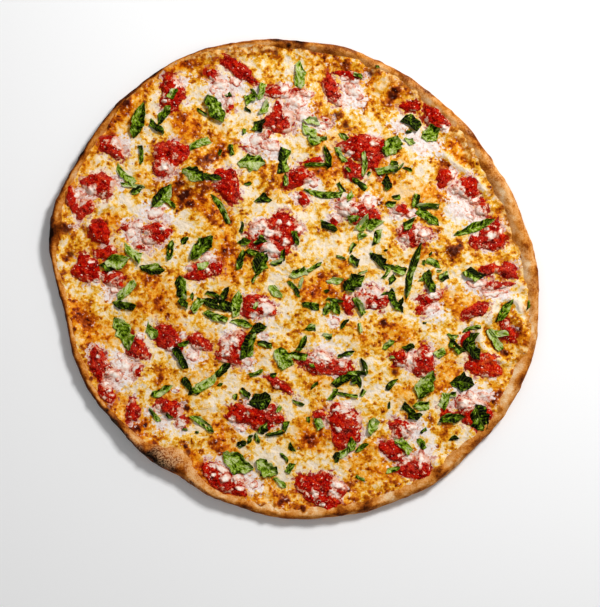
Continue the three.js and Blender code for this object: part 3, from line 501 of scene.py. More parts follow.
def cheese_top(x, y):
    """Top of the melted sheet, as the solid has it."""
    long = np.sin(x / 23 + 0.6) * np.cos(y / 19 - 0.4)
    short = np.sin((x + 1.7 * y) / 15) * np.sin((1.4 * x - y) / 13 + 2)
    climb = CHEESE_CLIMB * smooth((CLIMB_FROM - inset_share(x, y)) / CLIMB_SPAN)
    z = BASE_THICKNESS + GAP + CHEESE_THICKNESS + climb + CHEESE_RELIEF * (long + 0.8 * short)
    for bx, by, radius, height in BLISTERS:
        z = z + height * bell(1.5 * np.hypot(x - bx, y - by) / radius)
    for bx, by, ring, height, half in BURST_RINGS:
        z = z + height * bell((np.hypot(x - bx, y - by) - ring) / half)
    for tx, ty, length, width, _ in DOLLOPS:
        z = z - TOMATO_SINK * bell(2.2 * np.hypot(x - tx, y - ty) / (length + width))
    return z


def near_lines(x, y, lines, half):
    """How near each point is to the lines, 1 on a line and fading over half mm."""
    near = np.zeros(np.shape(x))
    for points in lines:
        for (ax, ay), (bx, by) in zip(points, points[1:]):
            run = ((x - ax) * (bx - ax) + (y - ay) * (by - ay)) / ((bx - ax) ** 2 + (by - ay) ** 2)
            run = np.clip(run, 0, 1)
            away = np.hypot(x - ax - run * (bx - ax), y - ay - run * (by - ay))
            near = np.maximum(near, bell(away / half))
    return near


def melt_relief(x, y):
    """The lumps, dimples, creases and burst bubbles of melted cheese."""
    z = 0.5 * lumps(x, y, 8.5, 11) + 0.36 * lumps(x, y, 4.4, 12) + 0.2 * lumps(x, y, 2.5, 13)
    distance, own = nearest_seed(x, y, 9, 21)
    z = z + 0.4 * (own > 0.6) * bell((distance - 0.3) / 0.09)
    return z - 0.9 * near_lines(x, y, FOLDS, 2.2) + 1.7 * near_lines(x, y, LIPS, 1.9)


def melt_top(x, y):
    """Top of the sheet as it shows, with a seam against the rim that comes and goes."""
    seam = smooth((1.8 - inset_share(x, y)) / 0.6)
    return cheese_top(x, y) + melt_relief(x, y) + seam * (1.1 * lumps(x, y, 8, 14) + 0.7 * lumps(x, y, 4, 15))


def reach_of(seed, angle):
    """How far a dollop's uneven outline reaches, as a share of its half sizes."""
    draw = draws(seed)
    reach = 1
    for count, size in ((2, 0.12), (3, 0.1), (5, 0.07)):
        reach = reach + size * np.sin(count * angle + 2 * math.pi * next(draw))
    return reach


def pulp_relief(x, y):
    """Soft chunks of crushed tomato with creases between them, about 1 on average."""
    distance, own = nearest_seed(x, y, 5.2, 31)
    fine = 0.17 * lumps(x, y, 2.1, 33) + 0.11 * lumps(x, y, 1.2, 34)
    return 1.16 - 0.5 * distance ** 1.5 + 0.3 * (own - 0.5) + fine


def mound_share(place, seed, x, y):
    """0 in the middle of a mound and 1 at its uneven outline."""
    px, py, length, width, turn = place[:5]
    cosine, sine = math.cos(math.radians(turn)), math.sin(math.radians(turn))
    along = ((x - px) * cosine + (y - py) * sine) * 2 / length
    across = ((y - py) * cosine - (x - px) * sine) * 2 / width
    return np.hypot(along, across) / reach_of(seed, np.arctan2(across, along))


def tomato_tall(width):
    """Height of a dollop's middle. Narrow ones are lower."""
    return TOMATO_RISE * min(1, math.sqrt(width / 20))


SMEAR_RISE = 1.4         # middle of a smear above the cheese
NEAR = 1.4               # a mound's height is looked up within this many of its half lengths

# Every piece of tomato with its seed and its height.
TOMATO = [(place, i + 1, tomato_tall(place[3])) for i, place in enumerate(DOLLOPS)]
TOMATO += [(place, i + 101, tomato_tall(place[3])) for i, place in enumerate(SMALL_DOLLOPS)]
TOMATO += [(place, i + 201, SMEAR_RISE) for i, place in enumerate(SMEARS)]


def tomato_rise(share, tall, x, y):
    """Height of tomato over the cheese. Its edge is ragged and dips under the cheese."""
    torn = share + (0.12 * lumps(x, y, 5.5, 41) + 0.11 * lumps(x, y, 2.4, 42)) * smooth(1.6 * share - 0.3)
    dome = tall * np.clip(1.04 - torn ** 2, 0, 1) ** 0.6 * pulp_relief(x, y)
    return dome - 0.12 - 3 * np.clip(torn - 1, 0, 1)


def surface_top(x, y):
    """Top of whatever tomato or cheese lies at each point."""
    over = np.zeros(np.shape(x))
    for place, seed, tall in TOMATO:
        near = np.hypot(x - place[0], y - place[1]) < NEAR * place[2] / 2
        if near.any():
            share = mound_share(place, seed, x[near], y[near])
            over[near] = np.maximum(over[near], tomato_rise(share, tall, x[near], y[near]))
    return melt_top(x, y) + over


# ------------------------------------------------------------------------------------ making meshes

def start_clean():
    """Nothing is selected and object mode is on, so the next operator acts on what it adds alone."""
    if bpy.context.object and bpy.context.object.mode != "OBJECT":
        bpy.ops.object.mode_set(mode="OBJECT")
    bpy.ops.object.select_all(action="DESELECT")


def taken_apart():
    """The active object's points and faces as arrays, and the object removed."""
    blank = bpy.context.object
    points = np.zeros(3 * len(blank.data.vertices))
    blank.data.vertices.foreach_get("co", points)
    faces = [tuple(face.vertices) for face in blank.data.polygons]
    bpy.data.objects.remove(blank)
    return points.reshape(-1, 3), faces


def piece(name, points, faces, material, stands_for=(), marks=()):
    """A smooth-shaded piece from points in mm, with its finish, its marks for the shader and its place."""
    mesh = bpy.data.meshes.new(name)
    mesh.from_pydata((np.asarray(points) * MM).tolist(), [], faces)
    for mark, values in dict(marks).items():
        mesh.attributes.new(mark, "FLOAT", "POINT").data.foreach_set("value", np.asarray(values, np.float32))
    mesh.polygons.foreach_set("use_smooth", [True] * len(mesh.polygons))
    mesh.materials.append(material)
    mesh.update()
    made = bpy.data.objects.new(name, mesh)
    bpy.context.scene.collection.objects.link(made)
    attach(made, "root")
    if stands_for:
        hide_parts(*stands_for)
    return made


def joined(parts):
    """Points and faces of several (points, faces) as one mesh."""
    points, faces, start = [], [], 0
    for part_points, part_faces in parts:
        points.append(part_points)
        faces += [tuple(start + corner for corner in face) for face in part_faces]
        start += len(part_points)
    return np.concatenate(points), faces


def ball_blank(subdivisions):
    """Points and faces of a ball, 1 in radius, to shape a mound from."""
    start_clean()
    bpy.ops.mesh.primitive_ico_sphere_add(subdivisions=subdivisions, radius=1)
    return taken_apart()


def mound_plan(ball, place, seed, past=1.0):
    """A ball's points spread evenly over a mound, or past its outline.

    Gives x and y, the share of the way out, and which points face up.
    """
    share = past * np.sqrt(np.clip(1 - np.abs(ball[:, 2]), 0, 1))
    angle = np.arctan2(ball[:, 1], ball[:, 0])
    reach = share * reach_of(seed, angle)
    along, across = place[2] / 2 * reach * np.cos(angle), place[3] / 2 * reach * np.sin(angle)
    return *laid(place, along, across), share, ball[:, 2] >= 0


# ------------------------------------------------------------------------------------ crust

def crust_profile(turn):
    """The rim's cross-section at each turn, from the underside over the rim: insets and heights."""
    width, height = rim_width(turn), rim_height(turn)
    rows = [
        [2.6, 0], [0.5, 2], [0, 5.5], [0.14 * width, 0.84 * height], [0.4 * width, height],
        [0.75 * width, 0.86 * height], [1.2 * width, BASE_THICKNESS + 1.8], [1.9 * width, BASE_THICKNESS],
    ]
    flat = np.zeros_like(turn)
    return np.array([flat + inset for inset, _ in rows]), np.array([flat + rise for _, rise in rows])


def between(rows, step):
    """A smooth curve through the rows, at a place counted in rows."""
    i = min(int(step), len(rows) - 2)
    t = step - i
    a, b, c, d = rows[max(i - 1, 0)], rows[i], rows[i + 1], rows[min(i + 2, len(rows) - 1)]
    return b + 0.5 * t * (c - a + t * (2 * a - 5 * b + 4 * c - d + t * (3 * (b - c) + d - a)))


def make_crust(material):
    """The whole base: a disc extruded row by row from the underside up and over the rim, then shaped."""
    sectors, spans, rows_a_span = 1080, 7, 4
    rows, widest, crest = spans * rows_a_span, 2 * rows_a_span, 4 * rows_a_span
    row_step = 1.7           # about how far apart the rows lie
    start_clean()
    bpy.ops.mesh.primitive_circle_add(vertices=sectors, radius=1, fill_type="NGON")
    bpy.ops.object.mode_set(mode="EDIT")
    for _ in range(rows):
        bpy.ops.mesh.extrude_region_move(TRANSFORM_OT_translate={"value": (0, 0, 1)})
    bpy.ops.object.mode_set(mode="OBJECT")
    blank, faces = taken_apart()
    turn = np.degrees(np.arctan2(blank[:, 1], blank[:, 0]))
    row = np.rint(blank[:, 2]).astype(int)
    insets, heights = crust_profile(turn)
    inset, height = np.zeros(len(turn)), np.zeros(len(turn))
    for k in range(rows + 1):
        on_row = row == k
        inset[on_row] = between(insets[:, on_row], k / rows_a_span)
        height[on_row] = between(heights[:, on_row], k / rows_a_span)
    arc, down = np.radians(turn) * MEAN_RADIUS, row_step * row
    outside = smooth((row - 2) / 4) * smooth((rows - 3 - row) / 6)
    # The rim's skin: puffs, blisters and small bumps.
    distance, own = nearest_seed(arc, down, 11, 51)
    blistered = own > 0.62
    puffs = 0.9 * lumps(arc, down, 13, 52) + 0.5 * lumps(arc, down, 6, 53)
    puffs = puffs + blistered * np.clip(1 - (distance / 0.42) ** 2, 0, 1)
    swell = outside * (puffs + 0.25 * lumps(arc, down, 2.8, 54))
    x, y = at_turn(turn, edge_radius(turn) - inset + 0.45 * swell * (row < crest - 2))
    z = height + 0.6 * swell * (row >= widest)
    # How dark it baked: darker outside the crest and on the side away from the pale one, paler inside the
    # crest. This is partly real baking and partly painted light: painted shade on the outer wall and on the
    # side away from the key light, and a painted highlight along the inner slope.
    bake_and_shade = swelled(0.44 + 0.15 * lumps(arc, down, 15, 55) + 0.13 * lumps(arc, down, 5, 56), turn, RIM_BAKE)
    away = smooth((np.abs(turn_between(turn, PALE_SIDE)) - 60) / 60)
    bake_and_shade = bake_and_shade + (0.05 + 0.2 * away) * smooth((crest + 1 - row) / 5) - 0.1 * smooth((row - crest + 1) / 4)
    bake_and_shade = bake_and_shade + 0.1 * blistered * bell(distance / 0.3)
    on_top = smooth((row - widest + 1) / 5)
    bake_and_shade = bake_and_shade + 0.3 * patches(x, y, TOASTED) * on_top
    bake_and_shade = np.maximum(bake_and_shade, 0.95 * patches(x, y, CHARRED) * on_top)
    flour = swelled(0, turn, FLOURED) * smooth(1.4 * lumps(arc, down, 9, 57) + 0.5)
    flour = flour * smooth((row - widest) / 6)
    piece("baked_crust", np.column_stack([x, y, z]), faces, material, ["crust"],
          {"bake_and_shade": bake_and_shade, "flour": flour})


# ------------------------------------------------------------------------------------ cheese

def make_cheese(material):
    """The melted sheet: a finely cut hexagon whose rings are rounded to the pizza's outline."""
    first_cuts, second_cuts = 11, 12
    start_clean()
    bpy.ops.mesh.primitive_circle_add(vertices=6, radius=1, fill_type="TRIFAN")
    bpy.ops.object.mode_set(mode="EDIT")
    bpy.ops.mesh.subdivide(number_cuts=first_cuts)
    bpy.ops.mesh.subdivide(number_cuts=second_cuts)
    bpy.ops.mesh.select_all(action="SELECT")
    bpy.ops.mesh.region_to_loop()
    bpy.ops.mesh.extrude_edges_move(TRANSFORM_OT_translate={"value": (0, 0, -1)})
    bpy.ops.mesh.edge_face_add()
    bpy.ops.mesh.select_all(action="SELECT")
    bpy.ops.mesh.normals_make_consistent(inside=False)
    bpy.ops.object.mode_set(mode="OBJECT")
    blank, faces = taken_apart()
    # Each point's ring, 0 to 1, and its turn. The hexagon's first corner points to +y, at 90 degrees.
    ring, turn = np.zeros(len(blank)), np.zeros(len(blank))
    for side in range(6):
        facing = math.radians(90 + 30 + 60 * side)
        out = (blank[:, 0] * math.cos(facing) + blank[:, 1] * math.sin(facing)) / math.cos(math.radians(30))
        along = blank[:, 1] * math.cos(facing) - blank[:, 0] * math.sin(facing)
        here = out > ring
        ring = np.where(here, out, ring)
        turn = np.where(here, math.degrees(facing) + 60 * along / np.maximum(out, 1e-9), turn)
    turn = (turn + 180) % 360 - 180
    x, y = at_turn(turn, (edge_radius(turn) - 0.5 * rim_width(turn)) * ring)
    z = np.where(blank[:, 2] < -0.5, BASE_THICKNESS - 1, melt_top(x, y))
    piece("melted_cheese", np.column_stack([x, y, z]), faces, material, ["cheese"],
          cheese_marks(x, y))


def white_sheet(x, y):
    """How strongly the white sheets cover each point, with wandering edges."""
    aside = 3 * lumps(x, y, 9, 75) + 1.6 * lumps(x, y, 4, 76)
    beyond = 3 * lumps(x, y, 9, 77) + 1.6 * lumps(x, y, 4, 78)
    return patches(x + aside, y + beyond, WHITE)


def sauce_cover(x, y):
    """How much tomato juice and pulp spread over the cheese round each dollop, with ragged ends."""
    farthest = 14            # mm past a dollop's own reach that its juice may spread
    sauce, halo = np.zeros(len(x)), np.zeros(len(x))
    ragged = 2.6 * lumps(x, y, 6.5, 65) + 1.6 * lumps(x, y, 3, 66)
    for place, seed, _ in TOMATO:
        near = np.hypot(x - place[0], y - place[1]) < farthest + NEAR * place[2] / 2
        if near.any():
            share = mound_share(place, seed, x[near], y[near])
            out = (share - 1) * (place[2] + place[3]) / 4 - ragged[near]
            sauce[near] = np.maximum(sauce[near], smooth((3.2 - out) / 4.5))
            halo[near] = np.maximum(halo[near], smooth((9 - out) / 8))
    return sauce, halo


def cheese_marks(x, y):
    """Where the sheet is golden, browned, charred, white or stained, for its material. The browning also
    carries painted shade in the creases, beside the lips and away from the key light.
    """
    inset, turn = inset_share(x, y), turn_of(x, y)
    bare = swelled(0.9 + 0.5 * lumps(x, y, 7, 60) - inset, turn, BARE)
    # Away from the pale side, the sheet's edge by the rim turns more golden and browner. This is partly real
    # browning and partly painted shade on the side away from the key light.
    away = smooth((np.abs(turn_between(turn, PALE_SIDE)) - 40) / 40)
    near_rim = smooth((3.2 - inset) / 2.2) * (0.35 + 0.65 * away)
    sauce, halo = sauce_cover(x, y)
    golden = 0.38 + 0.42 * lumps(x, y, 24, 61) + 0.35 * lumps(x, y, 10, 62)
    golden = golden + 0.8 * patches(x, y, GOLDEN) - 0.8 * patches(x, y, CREAMY) + 0.35 * near_rim
    lips = near_lines(x, y, LIPS, 2.4)
    golden = golden - 0.8 * lips
    browning_and_shade = patches(x, y, BROWNED) * (0.75 + 0.5 * lumps(x, y, 3, 63))
    browning_and_shade = browning_and_shade + 1.2 * patches(x, y, [[cx, cy, 1.7 * radius] for cx, cy, radius in CHARRED])
    browning_and_shade = browning_and_shade + 0.45 * near_rim * smooth(1.2 * lumps(x, y, 7, 64) + 0.45)
    # Browner along the folds and in a wide band round the lips. This is partly real browning and partly
    # painted shade in the creases and beside the raised lips.
    browning_and_shade = browning_and_shade + 0.5 * near_lines(x, y, FOLDS, 1.9) + 0.4 * near_lines(x, y, LIPS, 4.5) - 0.8 * lips
    white = np.maximum(white_sheet(x, y), 0.6 * halo * smooth(1.8 * lumps(x, y, 12, 69)))
    for place in CURDS:
        near = np.hypot(x - place[0], y - place[1]) < 2.4 * place[2]
        share = mound_share(place, 7, x[near], y[near]) + 0.3 * lumps(x[near], y[near], 3, 68)
        white[near] = np.maximum(white[near], 1 - smooth((share - 0.8) / 1.2))
    return {"golden": golden, "browned_and_shaded": browning_and_shade, "charred": patches(x, y, CHARRED), "white": white,
            "sauce": sauce - 0.45 * white, "halo": halo, "bare": smooth(bare / 0.3)}


# ------------------------------------------------------------------------------------ tomato

def tomato_mesh(ball, place, seed, tall):
    """A dollop's points, draped over the cheese, and how far out each lies."""
    past = 1.2               # the mesh reaches past the outline, so that the ragged edge has room
    x, y, share, up = mound_plan(ball, place, seed, past)
    tucked = smooth((share / past - 0.88) / 0.12)
    rise = tomato_rise(share, tall, x, y) * (1 - tucked) - 0.5 * tucked
    under = -0.5 - 1.3 * np.sqrt(np.clip(1 - (share / past) ** 2, 0, 1))
    return np.column_stack([x, y, melt_top(x, y) + np.where(up, rise, under)]), share


def tomato_marks(points, share):
    """Creases between the chunks, which the material darkens as painted shade, where threads of cheese melted
    over them, and how near the edge it is.
    """
    x, y = points[:, 0], points[:, 1]
    return {"crease": 1 - pulp_relief(x, y), "net": smooth(1.6 * lumps(x, y, 9, 43) + 0.2), "edge": share,
            "white": white_sheet(x, y), "fresh": patches(x, y, FRESH)}


def make_tomatoes(material):
    """A piece for each dollop that is a node, and one for all the rest."""
    finest_from = 36         # mm of length, from which a dollop takes the finest ball
    finest, plain, coarse = ball_blank(6), ball_blank(5), ball_blank(4)
    for i, (place, seed, tall) in enumerate(TOMATO[:len(DOLLOPS)]):
        ball, faces = finest if place[2] > finest_from else plain
        points, share = tomato_mesh(ball, place, seed, tall)
        piece(f"crushed_tomato_{i + 1:02d}", points, faces, material,
              [f"tomato_{i + 1:02d}"], tomato_marks(points, share))
    rest = [tomato_mesh(coarse[0], *row) for row in TOMATO[len(DOLLOPS):]]
    points, faces = joined([(points, coarse[1]) for points, _ in rest])
    piece("crushed_tomato_small", points, faces, material, ["cheese"],
          tomato_marks(points, np.concatenate([share for _, share in rest])))


# ------------------------------------------------------------------------------------ curds

def scatter_mounds(name, rows, material):
    """Many small mounds as one piece. Each row is a place, seed, height, raggedness from 0 to 1, and ball."""
    spread = 1.3             # the plan is wider than what shows, because the edge dips away
    parts, over, rough, share_out = [], [], [], []
    for place, seed, tall, ragged, (points, faces) in rows:
        wide = [place[2] * (1 + (spread - 1) * ragged), place[3] * (1 + (spread - 1) * ragged)]
        x, y, share, up = mound_plan(points, [*place[:2], *wide, place[4]], seed)
        dome = tall * np.clip(1 - share ** 2, 0, 1) ** 0.7
        over.append(np.where(up, dome - 0.15, -0.6 - dome))
        rough.append(np.where(up, ragged * smooth(1.6 * share - 0.2), 0))
        share_out.append(share)
        parts.append((np.column_stack([x, y, 0 * x]), faces))
    points, faces = joined(parts)
    x, y = points[:, 0], points[:, 1]
    edge = 0.25 + 0.9 * lumps(x, y, 4, 71) + 0.7 * lumps(x, y, 2, 72)
    relief = 0.24 * lumps(x, y, 3, 73) + 0.16 * lumps(x, y, 1.5, 74)
    points[:, 2] = surface_top(x, y) + np.concatenate(over) + relief - edge * np.concatenate(rough)
    piece(name, points, faces, material, ["cheese"], {"edge": np.concatenate(share_out)})


def make_curds(material):
    """White curds from the list, and fine grated flecks scattered over the tomato."""
    fleck_room = 50          # square mm of a dollop's length by width for each fleck
    fleck_rise = 0.34
    ball, fleck_ball = ball_blank(4), ball_blank(2)
    scatter_mounds("mozzarella_curds", [(place, 300 + i, 0.7 + 0.04 * place[3], 1, ball)
                                        for i, place in enumerate(CURDS)], material)
    draw, flecks = draws(77), []
    for place, _, _ in TOMATO:
        for _ in range(int(place[2] * place[3] / fleck_room)):
            angle, share = 2 * math.pi * next(draw), 1.05 * math.sqrt(next(draw))
            along, across = place[2] / 2 * share * math.cos(angle), place[3] / 2 * share * math.sin(angle)
            length, width = 1.1 + 2.4 * next(draw) ** 3, 0.7 + 0.6 * next(draw)
            fleck = [*laid(place, along, across), length, width, 360 * next(draw)]
            flecks.append((fleck, 500 + len(flecks), fleck_rise, 0, fleck_ball))
    scatter_mounds("mozzarella_flecks", flecks, material)


# ------------------------------------------------------------------------------------ basil

def leaf_blank(stations, lanes):
    """A thin flat slab, 1 by 1, whose top and underside are split alike."""
    start_clean()
    bpy.ops.mesh.primitive_grid_add(x_subdivisions=stations, y_subdivisions=lanes, size=1)
    bpy.ops.object.mode_set(mode="EDIT")
    bpy.ops.mesh.extrude_region_move(TRANSFORM_OT_translate={"value": (0, 0, -1)})
    bpy.ops.mesh.select_all(action="SELECT")
    bpy.ops.mesh.normals_make_consistent(inside=False)
    bpy.ops.object.mode_set(mode="OBJECT")
    return taken_apart()


def leaf_plan(blank, place, seed, cut):
    """A leaf's points seen from above, torn or knife-cut, and how far each lies along it and across it."""
    length, width = place[2:4]
    along, across = blank[:, 0] + 0.5, 2 * blank[:, 1]
    draw = draws(seed + 900)
    lean, bend, start, end = (next(draw) - 0.5 for _ in range(4))
    least = 0.66
    if cut:
        fullness, knots, most = 1.0 + 0 * along, [0, 0.2, 0.5, 0.8, 1], 1.08
        tips = [0.1 + 0.85 * next(draw) for _ in range(2)]
    else:
        fullness, most = np.sin(math.pi * (0.05 + 0.9 * along)) ** 0.7, 1.2
        knots, tips = [0, 0.1, 0.2, 0.34, 0.46, 0.58, 0.7, 0.84, 1], [0.3, 0.3]
    for half in (across < 0, across >= 0):
        torn = [least + (most - least) * next(draw) for _ in knots]
        torn[0], torn[-1] = tips[0] + 0.2 * next(draw), tips[1] + 0.2 * next(draw)
        fullness[half] *= np.interp(along[half], knots, torn)
    run, edge = length * along, 9 * np.sign(across)
    fullness = fullness * (1 + 0.13 * (lumps(run, edge, 3.2, seed) + 0.6 * lumps(run, edge, 1.6, seed)))
    side = width / 2 * (fullness + 0.2 * lean * (along - 0.5)) * across
    side = 0.16 * bend * length * np.sin(math.pi * along) + side
    slant = (1.2 * (start * (1 - along) + end * along) if cut else 0.3 * start) * across
    forward = length * (along - 0.5) + 0.5 * width * slant
    return *laid(place, forward, side), along, across


def leaf_habit(seed):
    """A leaf's own way of lying: its roll, fold, wave, tilt, creased side, and how much is turned over."""
    draw = draws(seed + 1300)
    roll, fold, wave, tilt, crease, turned = (next(draw) for _ in range(6))
    return roll, fold, wave, tilt, 1 if crease > 0.5 else -1, turned


def leaf_lift(place, seed, along, across):
    """Folds, rolled sides, crumples and rib relief of a leaf, mm over what it lies on."""
    length, width = place[2:4]
    roll, fold, wave, tilt, creased, _ = leaf_habit(seed)
    high = 0.1 * width + 0.25
    lift = high * (1.4 * roll - 0.5) * across ** 2 + high * (2.2 * fold - 0.7) * np.abs(across)
    lift = lift + 0.9 * high * (tilt - 0.5) * across
    lift = lift + 0.6 * high * np.sin(2 * math.pi * (1.3 * along + wave)) * (0.5 + 0.5 * across)
    # A side that curls up and over, past a crease along the leaf.
    lift = lift + 1.8 * high * np.clip(creased * across - 0.35, 0, None) * smooth(2 * along)
    crumple = 0.6 * lumps(length * along, width / 2 * across, 3.6, seed)
    crumple = crumple + 0.4 * lumps(length * along, width / 2 * across, 1.8, seed + 3)
    ribs = 0.09 * np.sin(2 * math.pi * (length * along / RIB_STEP - 0.8 * np.abs(across)))
    return lift + crumple + ribs * smooth(width / 8 - 0.5)


def leaf_marks(place, seed, along, across):
    """Place on the leaf in mm and shares, its shade, and its own number.

    A side that is turned over shows the other face's shade, and one half of each leaf is painted lighter and
    the other darker, as painted light and shade across its fold.
    """
    roll, _, _, _, creased, turned = leaf_habit(seed)
    over = smooth((creased * across - 0.1) / 0.1) * (turned > 0.45)
    # The last term is painted light and shade: one half of the leaf lighter and the other darker, as if lit
    # across its midrib fold.
    shade = place[5] + (0.45 if place[5] < 0.6 else -0.45) * over + 0.5 * (roll - 0.5) * np.sign(across)
    return {"along": along * place[2], "across": across, "side": across * place[3] / 2, "shade": shade,
            "own": np.full(len(along), 3.7 * seed)}


def make_basil(material):
    """A piece for each leaf that is a node, kept within its solid's height, and one for all the shreds."""
    thickness, clearance, least_clearance = 0.55, 0.5, 0.4
    sunk = 12                # percent of a leaf's points that may lie lower than its clearance
    fine, faces = leaf_blank(30, 12)
    for i, place in enumerate(LEAVES):
        x, y, along, across = leaf_plan(fine, place, i, cut=False)
        lift = leaf_lift(place, i, along, across)
        node = f"basil_{i + 1:02d}"
        under = surface_top(x, y)
        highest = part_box(node)[1].z / MM + 1
        z = np.minimum(under + lift - np.percentile(lift, sunk) + clearance, highest)
        z = np.maximum(z, under + least_clearance) - thickness * (fine[:, 2] < -0.5)
        piece(f"torn_{node}", np.column_stack([x, y, z]), faces, material, [node],
              leaf_marks(place, i, along, across))
    coarse, faces = leaf_blank(16, 8)
    parts, marks = [], {"along": [], "across": [], "side": [], "shade": [], "own": []}
    for seed, place in enumerate(SHREDS, 40):
        x, y, along, across = leaf_plan(coarse, place, seed, cut=True)
        lift = leaf_lift(place, seed, along, across)
        lift = lift - np.percentile(lift, sunk) + clearance
        parts.append((np.column_stack([x, y, lift - thickness * (coarse[:, 2] < -0.5)]), faces))
        for mark, values in leaf_marks(place, seed, along, across).items():
            marks[mark].append(values)
    points, faces = joined(parts)
    points[:, 2] += surface_top(points[:, 0], points[:, 1])
    marks = {mark: np.concatenate(values) for mark, values in marks.items()}
    piece("basil_shreds", points, faces, material, ["cheese"], marks)


# ------------------------------------------------------------------------------------ finishes

def new_material(name):
    made = bpy.data.materials.new(name)
    made.use_nodes = True
    made.node_tree.nodes.clear()
    return made, made.node_tree


def finish_surface(tree, sockets, colour, roughness, height, depth):
    """The shader's own sockets, with its colour, roughness and bump, and the output."""
    bump = add(tree, "ShaderNodeBump", {"Height": height, "Distance": depth * MM, "Strength": 1.0})
    shader = add(tree, "ShaderNodeBsdfPrincipled",
                 {"Base Color": colour, "Roughness": roughness, "Normal": bump.outputs[0], **sockets})
    add(tree, "ShaderNodeOutputMaterial", {"Surface": shader.outputs[0]})


def baked_dough():
    """Oven-baked wheat dough: matt and dry, tan with fine brown specks, burnt where it touched the heat."""
    material, tree = new_material("oven_baked_wheat_dough")
    where = add(tree, "ShaderNodeTexCoord").outputs["Object"]
    # The bake mark carries real browning together with painted shade on the rim's outer wall and far side,
    # and a painted highlight on its inner slope.
    bake_and_shade = add(tree, "ShaderNodeAttribute", attribute_name="bake_and_shade").outputs["Fac"]
    flour = add(tree, "ShaderNodeAttribute", attribute_name="flour").outputs["Fac"]
    blotch = add(tree, "ShaderNodeTexNoise", {"Vector": where, "Scale": 1 / (5 * MM), "Detail": 5.0,
                                              "Roughness": 0.65}).outputs["Fac"]
    grain = add(tree, "ShaderNodeTexNoise", {"Vector": where, "Scale": 1 / (1.3 * MM), "Detail": 3.0,
                                             "Roughness": 0.7}).outputs["Fac"]
    mottled = bake_and_shade
    for source, weight in ((blotch, 0.6), (grain, 0.5)):
        mottled = add(tree, "ShaderNodeMath", {0: source, 1: weight, 2: mottled},
                      operation="MULTIPLY_ADD").outputs[0]
    level = add(tree, "ShaderNodeMath", {0: mottled, 1: 0.525}, operation="SUBTRACT").outputs[0]
    crust = add(tree, "ShaderNodeValToRGB", {"Fac": level}, stops=[
        (0.1, "#EED0A8"), (0.26, "#E2AC70"), (0.42, "#CC8434"), (0.58, "#9C5414"), (0.74, "#66300C"),
        (0.95, "#1C0A03")]).outputs["Color"]
    dusted = add(tree, "ShaderNodeMapRange", {"Value": grain, 1: 0.57, 2: 0.45, 4: 0.75}).outputs[0]
    dusted = add(tree, "ShaderNodeMath", {0: flour, 1: dusted}, operation="MULTIPLY").outputs[0]
    colour = add(tree, "ShaderNodeMix", {0: dusted, 6: crust, 7: linear("#DFB488")},
                 data_type="RGBA").outputs[2]
    finish_surface(tree, {"Specular IOR Level": 0.05}, colour, 0.6, mottled, 1.1)
    return material


